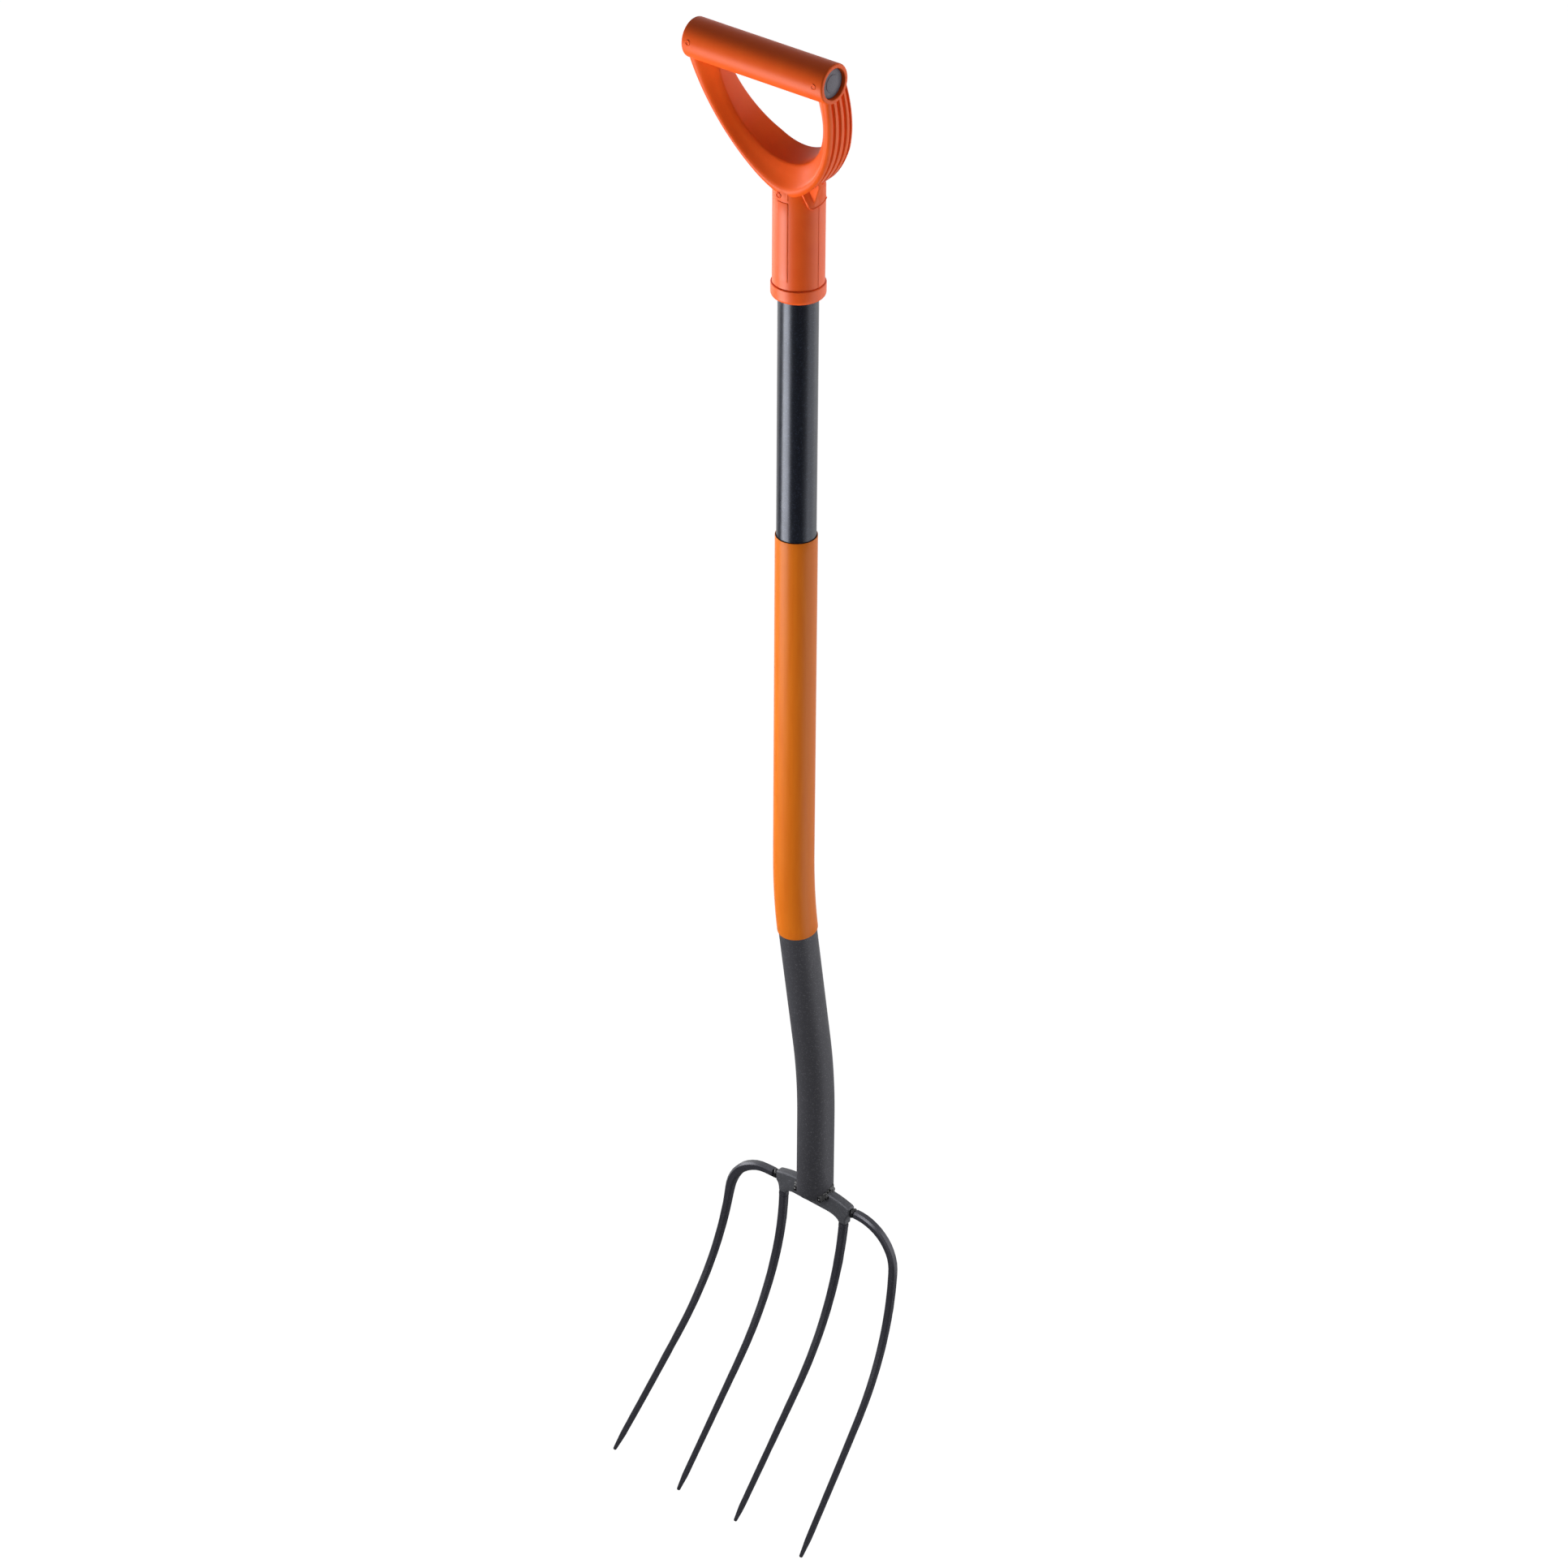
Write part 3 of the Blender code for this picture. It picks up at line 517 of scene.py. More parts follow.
def make_band():
    """The loop's fluted band, skinned from section to section because its section changes all the way."""
    outer = [point for point in bow(LOOP_HALF_WIDTH, LOOP_DEPTH, LOOP_POWER) if point[1] > LOOP_TOP]
    window = [(across, WINDOW_ROUND_START + down)
              for across, down in bow(WINDOW_HALF_WIDTH, WINDOW_DEPTH - WINDOW_ROUND_START, WINDOW_POWER)]
    window = [(WINDOW_HALF_WIDTH, LOOP_TOP)] + window + [(-WINDOW_HALF_WIDTH, LOOP_TOP)]
    shape = bmesh.new()
    rings = []
    for outside, inside in zip(even_points(outer, LOOP_STATIONS), even_points(window, LOOP_STATIONS)):
        low = blend(LOOP_BACK_OUTSIDE, through(LOOP_BACK_OUTSIDE_SPAN, outside[1]))
        low_inside = blend(LOOP_BACK_INSIDE, through(LOOP_BACK_INSIDE_SPAN, inside[1]))
        high = blend(LOOP_FRONT, (outside[1] / LOOP_DEPTH) ** LOOP_FRONT_FLARE)
        groove_depth = GROOVE_DEPTH * (1 - through(GROOVE_FADE, outside[1]))
        width = (outside - inside).length
        near_foot = (outside[1] / LOOP_DEPTH) ** 2
        ring = []
        for out, front in band_section(width, low_inside, low, high, groove_depth):
            across, down = inside.lerp(outside, out / width)
            down += LOOP_BACK_SAG * out / width * (high - front) / (high - low) * near_foot
            ring.append(shape.verts.new(loop_point(across, down, front)))
        rings.append(ring)
    count = len(rings[0])
    for ring, following in zip(rings, rings[1:]):
        for i in range(count):
            j = (i + 1) % count
            shape.faces.new((ring[i], ring[j], following[j], following[i]))
    shape.faces.new(rings[0])
    shape.faces.new(rings[-1])
    bmesh.ops.recalc_face_normals(shape, faces=shape.faces)
    mesh = bpy.data.meshes.new("handle_moulding")
    shape.to_mesh(mesh)
    shape.free()
    band = bpy.data.objects.new("handle_moulding", mesh)
    bpy.context.scene.collection.objects.link(band)
    return band


def make_grip():
    """The grip's bar, with rounded ends."""
    half = GRIP_LENGTH / 2
    inner = GRIP_RADIUS - GRIP_EDGE_ROUND
    edge = half - GRIP_EDGE_ROUND
    right = arc((inner, edge), GRIP_EDGE_ROUND, 90, 0, 6)
    left = arc((inner, -edge), GRIP_EDGE_ROUND, 0, -90, 6)
    barrel = [(GRIP_RADIUS, edge * share) for share in (0.75, 0.5, 0.25, 0, -0.25, -0.5, -0.75)]
    profile = [(0, half)] + right + barrel + left + [(0, -half)]
    return settle(turn("grip", profile, at(0, 0, 0), ACROSS, UP))


def make_grip_bore(side):
    """What is cut out of one end of the grip: a bore with a rounded mouth."""
    half = GRIP_LENGTH / 2
    floor = half - GRIP_BORE_DEPTH
    past = half + CUT_PAST
    mouth_centre = (GRIP_BORE_RADIUS + GRIP_MOUTH_ROUND, half - GRIP_MOUTH_ROUND)
    mouth = arc(mouth_centre, GRIP_MOUTH_ROUND, 180, 90, 4)
    profile = [(0, floor), (GRIP_BORE_RADIUS, floor)] + mouth + [(mouth[-1][0], past), (0, past)]
    return settle(turn("bore", profile, at(0, 0, 0), ACROSS * side, UP))


def raise_patch(top, foot):
    """Raises a low panel between two levels on the front of the open socket, and rounds its rim."""
    facing = -BACK

    def inside(corners):
        middle = sum(corners, Vector()) / len(corners)
        level = GRIP_RADIUS - middle.z
        flat = Vector((middle.x, middle.y - SHAFT_BACK, 0))
        on_wall = flat.length > SOCKET_RADIUS - 3
        return on_wall and top < level < foot and facing.angle(flat) < PANEL_HALF_ANGLE

    pick("FACE", inside)
    bpy.ops.mesh.extrude_region_move(TRANSFORM_OT_translate={"value": facing * PANEL_RISE * MM})
    bpy.ops.mesh.region_to_loop()
    bpy.ops.mesh.bevel(offset=RAISED_EDGE_ROUND * MM, segments=3, affect="EDGES")


def make_socket():
    """The cup on the shaft, with two raised panels on its front."""
    levels = (PATCH_FOOT, PANEL_TOP) + SOCKET_RINGS + (PANEL_FOOT, SOCKET_WALL_FOOT)
    wall = [(SOCKET_RADIUS, -level) for level in levels]
    collar = [(radius, rise - COLLAR_TOP) for radius, rise in COLLAR_STEP]
    mouth = arc((COLLAR_RADIUS - COLLAR_ROUND, COLLAR_ROUND - SOCKET_MOUTH), COLLAR_ROUND, 0, -90, 6)
    bore = [(SOCKET_BORE_RADIUS, -SOCKET_MOUTH), (SOCKET_BORE_RADIUS, -SOCKET_BORE_TOP),
            (0, -SOCKET_BORE_TOP)]
    profile = dome(SOCKET_RADIUS, SOCKET_DOME, -SOCKET_SHOULDER, 90) + wall + collar + mouth + bore
    socket = turn("socket", profile, at(0, SHAFT_BACK, 0), UP, -BACK)
    raise_patch(PANEL_TOP, PANEL_FOOT)
    raise_patch(PATCH_TOP, PATCH_FOOT)
    return settle(socket)


def pad_edge():
    """The pad's front edge and its foot, which rises to the back, as (back, level) points."""
    corner = arc((PAD_CORNER_BACK, PAD_FOOT - PAD_CORNER_RADIUS), PAD_CORNER_RADIUS, 165, 90, 4)
    return list(PAD_FRONT) + corner + list(PAD_LOWER_EDGE)


def make_pad():
    """The raised pad on the socket's right: a slanted block trimmed to a cylinder round the socket."""
    near, far = PAD_BLOCK
    outline = pad_edge() + [PAD_BACK_CORNER]
    pad = settle(pull_block("pad", [at(near, back, level) for back, level in outline], ACROSS * (far - near)))
    top, foot = PAD_TRIM_SPAN
    round_bar = [(0, -top), (PAD_RADIUS, -top), (PAD_RADIUS, -foot), (0, -foot)]
    combine(pad, settle(turn("trim", round_bar, at(0, SHAFT_BACK, 0), UP, -BACK, 90)), "INTERSECT")
    return soften(pad, RAISED_EDGE_ROUND)


def make_pad_rim():
    """The fine raised rim along the pad's front edge and foot."""
    points = [at(math.sqrt(PAD_RADIUS ** 2 - (back - SHAFT_BACK) ** 2), back, level)
              for back, level in even_points(pad_edge(), PAD_RIM_STATIONS)]
    stations = []
    for point, along in zip(points, directions(points)):
        out = point - at(0, SHAFT_BACK, 0)
        out.z = 0
        stations.append((point, along, (out - along * along.dot(out)).normalized(), PAD_RIM_RADIUS))
    rim = string_rings("rim", stations, 8)
    close_ends()
    return settle(rim, 60)


def make_fin(side):
    """The web between the loop and one side of the socket, parallel to the loop and running out downwards."""
    points = [at(side * across, FIN_BACK + FIN_SLANT * (level - FIN_LEVEL), level)
              for across, level in FIN_OUTLINE]
    fin = pull_block("fin", points, BACK * FIN_THICKNESS)
    run = FIN_FREE_EDGE[0][0] - FIN_FREE_EDGE[1][0]
    pick("EDGE", lambda ends: abs(abs(ends[0].x - ends[1].x) - run) < 0.1)
    bpy.ops.mesh.bevel(offset=FIN_EDGE_ROUND * MM, segments=3, affect="EDGES")
    return settle(fin)


def make_seam(side):
    """The mould's parting line down one side of the socket, a fine raised thread."""
    top, foot = SEAM_SPAN
    out = Vector((side * math.cos(SEAM_ANGLE), -math.sin(SEAM_ANGLE), 0))
    reach = SOCKET_RADIUS - SEAM_ROOT
    ends = [at(0, SHAFT_BACK, level) + out * reach * MM for level in SEAM_SPAN]
    middle = (ends[0] + ends[1]) / 2
    seam = begin("seam", bpy.ops.mesh.primitive_cube_add, size=MM, location=middle)
    sizes = (2 * (SEAM_ROOT + SEAM_RISE), SEAM_WIDTH, foot - top)
    bpy.ops.transform.resize(value=sizes, center_override=middle)
    bpy.ops.transform.rotate(value=side * SEAM_ANGLE, orient_axis="Z", center_override=middle)
    return settle(seam)


def make_boss():
    """The small dimpled boss at the top of the socket's front."""
    foot = at(BOSS_ACROSS, SHAFT_BACK - SOCKET_RADIUS - BOSS_RISE, BOSS_LEVEL)
    skew = Matrix.Rotation(BOSS_SKEW, 3, "Y") @ UP
    return settle(turn("boss", BOSS_PROFILE, foot, -BACK, skew, 32))


def make_grip_mark(across, degrees):
    """A small ring left by an ejector pin on the grip's front."""
    angle = math.radians(degrees)
    out = Vector((0, -math.cos(angle), math.sin(angle)))
    foot = at(across, 0, 0) + out * GRIP_RADIUS * MM
    skew = Matrix.Rotation(GRIP_MARK_SKEW, 3, out) @ ACROSS
    return settle(turn("mark", GRIP_MARK_PROFILE, foot, out, skew, 28))


def make_handle():
    """The one-piece handle: band, grip and socket, with the small forms added and the bores cut."""
    handle = make_band()
    for form in (make_grip, make_socket, make_boss, make_pad, make_pad_rim):
        combine(handle, form(), "UNION")
    for side in (-1, 1):
        combine(handle, make_fin(side), "UNION")
        combine(handle, make_seam(side), "UNION")
        combine(handle, make_grip_bore(side), "DIFFERENCE")
    for across, degrees in GRIP_MARKS:
        combine(handle, make_grip_mark(across, degrees), "UNION")
    return shade(handle, 32)


def make_plug(side, name):
    """A plug in one end of the grip, with a low pad on its face."""
    face = GRIP_LENGTH / 2 - PLUG_RECESS
    profile = [(0, face + PLUG_PAD_HEIGHT)]
    profile += [(PLUG_PAD_RADIUS + out, face + rise) for out, rise in PLUG_PAD_FLANK]
    profile += [(PLUG_RADIUS + out, face + rise) for out, rise in PLUG_RIM]
    profile.append((0, face - PLUG_LENGTH))
    return settle(turn(name, profile, at(0, 0, 0), ACROSS * side, UP, 64))


def make_rivet():
    """The rivet: a domed head on the socket's wall, and a shank through the tube's."""
    head = SOCKET_RADIUS + FIT_GAP
    shank_end = TUBE_RADIUS - TUBE_WALL - RIVET_SHANK_PAST_WALL
    profile = dome(RIVET_HEAD_RADIUS, RIVET_HEAD_HEIGHT, head, 80)
    profile += [(RIVET_HEAD_RADIUS, head + RIVET_RIM), (RIVET_HEAD_RADIUS - RIVET_RIM, head)]
    profile += [(RIVET_SHANK_RADIUS, head), (RIVET_SHANK_RADIUS, shank_end), (0, shank_end)]
    return settle(turn("rivet_dome", profile, at(0, SHAFT_BACK, RIVET_LEVEL), BACK, UP, 48))


# The shaft.


def shaft_back(level):
    """How far back the shaft's axis is at a level."""
    bend_back = BEND_RADIUS * (1 - math.cos(BEND_ANGLE))
    bend_down = BEND_RADIUS * math.sin(BEND_ANGLE)
    slant_down = (BEND_OFFSET - 2 * bend_back) / math.tan(BEND_ANGLE)
    down = level - BEND_START
    left = 2 * bend_down + slant_down - down
    if down <= 0:
        return 0.0
    if down < bend_down:
        return BEND_RADIUS - math.sqrt(BEND_RADIUS ** 2 - down ** 2)
    if left <= 0:
        return BEND_OFFSET
    if left < bend_down:
        return BEND_OFFSET - BEND_RADIUS + math.sqrt(BEND_RADIUS ** 2 - left ** 2)
    return bend_back + (down - bend_down) * math.tan(BEND_ANGLE)


def make_pipe(name, top, foot, radius, wall, rim_round):
    """A tube along the shaft's axis, with a wall and softened rims."""
    count = max(2, round((foot - top) / PIPE_RING_SPACING))
    levels = [blend((top, foot), i / count) for i in range(count + 1)]
    points = [at(0, SHAFT_BACK + shaft_back(level), level) for level in levels]
    stations = [(point, along, ACROSS, radius) for point, along in zip(points, directions(points))]
    piece = string_rings(name, stations, PIPE_SIDES)
    turn_faces_out()
    settle(piece)
    apply(piece, "SOLIDIFY", thickness=wall * MM, offset=-1, use_even_offset=True)
    soften(piece, rim_round)
    return shade(piece, 35)


def make_tube_slot():
    """What is cut out of the tube's foot, so that it straddles the plate."""
    reach = TUBE_RADIUS + CUT_PAST
    half = BRIDGE_THICKNESS / 2 + FIT_GAP
    past = TUBE_FOOT + CUT_PAST
    line = [(-reach, BRIDGE_TOP - BRIDGE_TILT * reach - FIT_GAP),
            (reach, BRIDGE_TOP + BRIDGE_TILT * reach - FIT_GAP), (reach, past), (-reach, past)]
    points = [at(across, HEAD_BACK - half, level) for across, level in line]
    return settle(pull_block("slot", points, BACK * 2 * half))


def make_tube():
    """The steel tube, slotted at its foot."""
    tube = make_pipe("steel_tube", TUBE_TOP, TUBE_FOOT, TUBE_RADIUS, TUBE_WALL, TUBE_RIM_ROUND)
    combine(tube, make_tube_slot(), "DIFFERENCE")
    return shade(tube, 35)


def make_sleeve():
    """The sleeve shrunk onto the tube."""
    wall = SLEEVE_RADIUS - SLEEVE_BORE_RADIUS
    return make_pipe("vinyl_sleeve", SLEEVE_TOP, SLEEVE_FOOT, SLEEVE_RADIUS, wall, SLEEVE_RIM_ROUND)


# The head.


def bridge_half(side):
    """Half of the plate's outline, from the tongue round the arm and the leg, as (across, level) points."""
    leg_out = TINE_INNER_ROOT_X[side] + LEG_WIDTH / 2
    leg_in = TINE_INNER_ROOT_X[side] - LEG_WIDTH / 2
    foot = BRIDGE_TOP + BRIDGE_HEIGHT
    quarter = [math.radians(15 * i) for i in range(7)]
    points = [(TONGUE_HALF_WIDTH - TONGUE_EDGE, BRIDGE_TOP - TONGUE_LENGTH),
              (TONGUE_HALF_WIDTH, BRIDGE_TOP - TONGUE_LENGTH + TONGUE_EDGE), (TONGUE_HALF_WIDTH, BRIDGE_TOP)]
    for across in BRIDGE_CROWN_POINTS:
        points.append((across, BRIDGE_TOP + BRIDGE_CROWN * (across - TONGUE_HALF_WIDTH) ** 2))
    for angle in quarter:
        points.append((BRIDGE_HALF_LENGTH - (BRIDGE_HALF_LENGTH - leg_out) * math.sin(angle),
                       BRIDGE_TOP + ARM_HEIGHT[side] + ARM_FILLET * (1 - math.cos(angle))))
    points.append((leg_out, foot + LEG_DROP))
    for angle in quarter:
        points.append((leg_in - LEG_FILLET[side] * (1 - math.cos(angle)),
                       foot + LEG_DROP * (1 - math.sin(angle))))
    return [(side * across, level + BRIDGE_TILT * side * across) for across, level in points]


def make_bridge():
    """The plate: its outline drawn, filled, pulled to its thickness and rounded along its edges."""
    outline = bridge_half(1) + bridge_half(-1)[::-1]
    front = HEAD_BACK - BRIDGE_THICKNESS / 2
    points = [at(across, front, level) for across, level in outline]
    bridge = pull_block("bridge_plate", points, BACK * BRIDGE_THICKNESS)
    pick_sharp_edges()
    bpy.ops.mesh.bevel(offset=BRIDGE_EDGE_ROUND * MM, segments=4, affect="EDGES")
    return settle(bridge)


def forward_at(level):
    """How far the tines have swept forward at a level."""
    straight = SWEEP_STRAIGHT * math.cos(SWEEP_START_ANGLE)
    down = level - SWEEP_START
    if down <= straight:
        return max(0.0, down) * math.tan(SWEEP_START_ANGLE)
    rise = math.sin(SWEEP_START_ANGLE) + (down - straight) / SWEEP_RADIUS
    angle = min(SWEEP_END_ANGLE, math.asin(min(1.0, rise)))
    swept = SWEEP_RADIUS * (math.cos(SWEEP_START_ANGLE) - math.cos(angle))
    arc_down = SWEEP_RADIUS * (math.sin(angle) - math.sin(SWEEP_START_ANGLE))
    last = (down - straight - arc_down) * math.tan(SWEEP_END_ANGLE)
    return SWEEP_STRAIGHT * math.sin(SWEEP_START_ANGLE) + swept + max(0.0, last)


def inner_front_view(side):
    """An inner tine's front view from its weld to its tip, as (across, level) points."""
    root = TINE_INNER_ROOT_X[side]
    start = BRIDGE_TOP + BRIDGE_HEIGHT + LEG_DROP + BEAD_THICKNESS + BEAD_GAP
    start += BRIDGE_TILT * side * root
    draw = [(TINE_INNER_X + (root - TINE_INNER_X) * (1 - i / 8) ** 2, start + TINE_INNER_DRAW * i / 8)
            for i in range(9)]
    return draw + [(TINE_INNER_X, TINE_TIP)]


def outer_front_view(side):
    """An outer tine's front view from its weld round the shoulder to its tip, as (across, level) points."""
    level = BRIDGE_TOP + SHOULDER_DROP[side]
    radius = SHOULDER_RADIUS[side]
    full_turn = math.pi / 2 - SPLAY_AT_SHOULDER[side]
    first_slope = math.tan(SPLAY_AT_SHOULDER[side])
    last_slope = math.tan(SPLAY_AT_TIP[side])
    shoulder_end = level + radius * (1 - math.cos(full_turn))
    height = OUTER_TIP[side] - shoulder_end
    shoulder_x = OUTER_TIP_X[side] - height * (first_slope + last_slope) / 2
    centre = shoulder_x - radius * math.sin(full_turn)
    points = [(BRIDGE_HALF_LENGTH + BEAD_THICKNESS + BEAD_GAP, level)]
    for i in range(25):
        angle = full_turn * i / 24
        points.append((centre + radius * math.sin(angle), level + radius * (1 - math.cos(angle))))
    for i in range(1, 17):
        share = i / 16
        mean_slope = first_slope + (last_slope - first_slope) * share / 2
        points.append((shoulder_x + height * share * mean_slope, shoulder_end + height * share))
    return points


def tine_route(outer, side):
    """A tine's middle line, from its weld to its tip."""
    front_view = outer_front_view(side) if outer else inner_front_view(side)
    flat = [(side * across, level) for across, level in front_view]
    lifted = [at(across, HEAD_BACK - forward_at(level), level) for across, level in even_points(flat, 300)]
    return even_points(lifted, TINE_STATIONS)


def bar_sides(along):
    """The directions across a bar and out of its front, for the direction it runs in."""
    front = (-BACK - along * along.dot(-BACK)).normalized()
    return front.cross(along), front


def square_bar(name, stations):
    """A square bar through stations of (middle, direction, half width), with its corners knocked off."""
    rings = [(point, along, bar_sides(along)[0], half * math.sqrt(2)) for point, along, half in stations]
    bar = string_rings(name, rings, 4)
    close_ends()
    pick_sharp_edges()
    bpy.ops.mesh.bevel(offset_type="PERCENT", offset_pct=CORNER_CUT_PERCENT, segments=1, affect="EDGES")
    return settle(bar, 40)


def forge_tine(name, outer, side):
    """A square bar drawn down along the tine's line, its faces left uneven."""
    route = tine_route(outer, side)
    swell_at, swell_length = SHOULDER_SWELL_AT
    stations = []
    for number, (point, along) in enumerate(zip(route, directions(route))):
        share = number / (TINE_STATIONS - 1)
        half = TINE_HALF[outer] * along_table(TINE_TAPER, share)
        if outer:
            half *= 1 + SHOULDER_SWELL[side] * math.exp(-((share - swell_at) / swell_length) ** 2)
        stations.append((point, along, half))
    tine = square_bar(name, stations)
    uneven = bpy.data.textures.new("forging", "CLOUDS")
    uneven.noise_scale = FORGING_SPACING * MM
    depth = FORGING_DEPTH * MM
    apply(tine, "DISPLACE", texture=uneven, strength=depth, mid_level=0.7, texture_coords="GLOBAL")
    return shade(tine, 40)


def make_ground_joint(name, side):
    """The weld between an inner tine and the plate's leg, ground back to the bar's own section."""
    route = tine_route(False, side)
    along = (route[1] - route[0]).normalized()
    return square_bar(name, [(route[0] + along * reach * MM, along, TINE_HALF[False] * size)
                             for reach, size in GROUND_JOINT])


def lay_bead(name, places):
    """Weld metal: overlapping drops run together and left lumpy."""
    bead = None
    for middle, radius, squash in places:
        drop = {"subdivisions": 3, "radius": radius * MM, "location": middle}
        if bead is None:
            bead = begin(name, bpy.ops.mesh.primitive_ico_sphere_add, **drop)
        else:
            bpy.ops.mesh.select_all(action="DESELECT")
            bpy.ops.mesh.primitive_ico_sphere_add(**drop)
        bpy.ops.transform.resize(value=squash, center_override=middle)
    settle(bead)
    apply(bead, "REMESH", mode="VOXEL", voxel_size=BEAD_VOXEL * MM)
    apply(bead, "SMOOTH", factor=0.5, iterations=4)
    return shade(bead, 60)


def make_arm_bead(name, side):
    """The weld between an outer tine and the plate's end: drops laid all round the bar."""
    route = tine_route(True, side)
    along = (route[1] - route[0]).normalized()
    across, front = bar_sides(along)
    middle = route[0] - along * (BEAD_THICKNESS / 2 + FIT_GAP) * MM
    places = [(middle, ARM_BEAD_CORE, (0.6, 1, 1))]
    for i in range(ARM_BEAD_DROPS):
        angle = math.tau * i / ARM_BEAD_DROPS + 0.3
        reach = (ARM_BEAD_REACH + 0.3 * math.sin(2.3 * i)) * MM
        spot = middle + across * reach * math.cos(angle) + front * reach * math.sin(angle)
        spot += along * 0.7 * math.sin(1.7 * i) * MM
        places.append((spot, ARM_DROP_RADIUS + 0.3 * math.sin(5 * i), (0.8, 1, 1)))
    return lay_bead(name, places)


def make_tube_bead(name, side):
    """The weld in the corner between the tube and the plate's top: a low row of drops and a high one."""
    reach = TUBE_RADIUS + 0.4
    places = []
    for i, degrees in enumerate(TUBE_BEAD_DEGREES):
        angle = math.radians(degrees)
        level = TUBE_FOOT - 0.8 - TUBE_BEAD_CLIMB * i
        low = at(side * reach * math.cos(angle), HEAD_BACK + reach * math.sin(angle), level)
        places.append((low, TUBE_LOW_DROP_RADIUS + 0.3 * math.sin(4 * i), (1, 1, 1)))
        high = low + Vector((-side * 0.6, 0, 2.2 + 0.3 * i + 0.5 * math.sin(5 * i))) * MM
        places.append((high, TUBE_HIGH_DROP_RADIUS + 0.2 * math.cos(3 * i), (1, 1, 1.3)))
    return lay_bead(name, places)


# Materials.


def paint(hex_colour):
    """A colour's sRGB hex value as linear light."""
    parts = [int(hex_colour[i:i + 2], 16) / 255 for i in (1, 3, 5)]
    return tuple(p / 12.92 if p <= 0.04045 else ((p + 0.055) / 1.055) ** 2.4 for p in parts) + (1.0,)


def add_node(tree, kind, inputs=None, **settings):
    """Adds one node with its settings, values and links."""
    node = tree.nodes.new(kind)
    for key, value in settings.items():
        setattr(node, key, value)
    for socket, value in (inputs or {}).items():
        if isinstance(value, bpy.types.NodeSocket):
            tree.links.new(value, node.inputs[socket])
        else:
            node.inputs[socket].default_value = value
    return node


def per_mm(size):
    """A texture's scale for features of a size in millimetres."""
    return 1 / (size * MM)


def start_material(name, **constants):
    """A material with its shader's constant values set, and the Object coordinates it reads."""
    material = bpy.data.materials.new(name)
    material.use_nodes = True
    tree = material.node_tree
    shader = tree.nodes["Principled BSDF"]
    for socket, value in constants.items():
        shader.inputs[socket.replace("_", " ")].default_value = value
    place = add_node(tree, "ShaderNodeTexCoord").outputs["Object"]
    return material, tree, shader, place


def finish_surface(tree, shader, tint, shades, sheen=None, relief=None):
    """Lays two shades on a material by a pattern, then a range of roughness and a fine relief by others."""
    mixed = {0: tint, 6: paint(shades[0]), 7: paint(shades[1])}
    colour = add_node(tree, "ShaderNodeMix", mixed, data_type="RGBA")
    tree.links.new(colour.outputs[2], shader.inputs["Base Color"])
    if sheen:
        pattern, least, most = sheen
        rough = add_node(tree, "ShaderNodeMapRange", {"Value": pattern, "To Min": least, "To Max": most})
        tree.links.new(rough.outputs["Result"], shader.inputs["Roughness"])
    if relief:
        pattern, strength, depth = relief
        raised = {"Height": pattern, "Strength": strength, "Distance": depth * MM}
        bump = add_node(tree, "ShaderNodeBump", raised)
        tree.links.new(bump.outputs["Normal"], shader.inputs["Normal"])


def moulded_polypropylene():
    """Orange polypropylene from a spark-eroded mould: satin, a little cloudy in colour, finely grained."""
    material, tree, shader, place = start_material("orange_moulded_polypropylene", Specular_IOR_Level=0.16)
    cloud = add_node(tree, "ShaderNodeTexNoise", {"Vector": place, "Scale": per_mm(14), "Detail": 3.0})
    cloudy = cloud.outputs["Fac"]
    grain = add_node(tree, "ShaderNodeTexNoise", {"Vector": place, "Scale": per_mm(0.7), "Detail": 2.0})
    finish_surface(tree, shader, cloudy, ("#F05816", "#F8651C"), sheen=(cloudy, 0.37, 0.47),
                   relief=(grain.outputs["Fac"], 0.12, 0.1))
    return material


def sleeve_vinyl():
    """Shrunk orange vinyl: smoother and yellower than the handle, with faint streaks along the tube."""
    material, tree, shader, place = start_material("orange_shrunk_vinyl", Specular_IOR_Level=0.13)
    drawn_out = add_node(tree, "ShaderNodeMapping", {"Vector": place, "Scale": (1, 1, 0.08)})
    streaks = {"Vector": drawn_out.outputs["Vector"], "Scale": per_mm(3), "Detail": 3.0}
    streaky = add_node(tree, "ShaderNodeTexNoise", streaks).outputs["Fac"]
    grain = add_node(tree, "ShaderNodeTexNoise", {"Vector": place, "Scale": per_mm(0.9), "Detail": 2.0})
    finish_surface(tree, shader, streaky, ("#C86314", "#D27219"), sheen=(streaky, 0.32, 0.42),
                   relief=(grain.outputs["Fac"], 0.08, 0.1))
    return material


def sparkle_coat(name, dark, light, rough, shine, tint, flake, peel):
    """A sprayed coat on steel: fine pale flakes in a dark ground, under orange peel."""
    material, tree, shader, place = start_material(name, Specular_IOR_Level=shine, Specular_Tint=paint(tint))
    flakes = add_node(tree, "ShaderNodeTexVoronoi", {"Vector": place, "Scale": per_mm(flake)})
    brightest = {"Value": flakes.outputs["Color"], "From Min": 0.72, "From Max": 1.0}
    bright = add_node(tree, "ShaderNodeMapRange", brightest)
    cloud = add_node(tree, "ShaderNodeTexNoise", {"Vector": place, "Scale": per_mm(18), "Detail": 4.0})
    skin = add_node(tree, "ShaderNodeTexNoise", {"Vector": place, "Scale": per_mm(peel), "Detail": 2.0})
    finish_surface(tree, shader, bright.outputs["Result"], (dark, light),
                   sheen=(cloud.outputs["Fac"], rough - 0.06, rough + 0.06),
                   relief=(skin.outputs["Fac"], 0.15, 0.15))
    return material


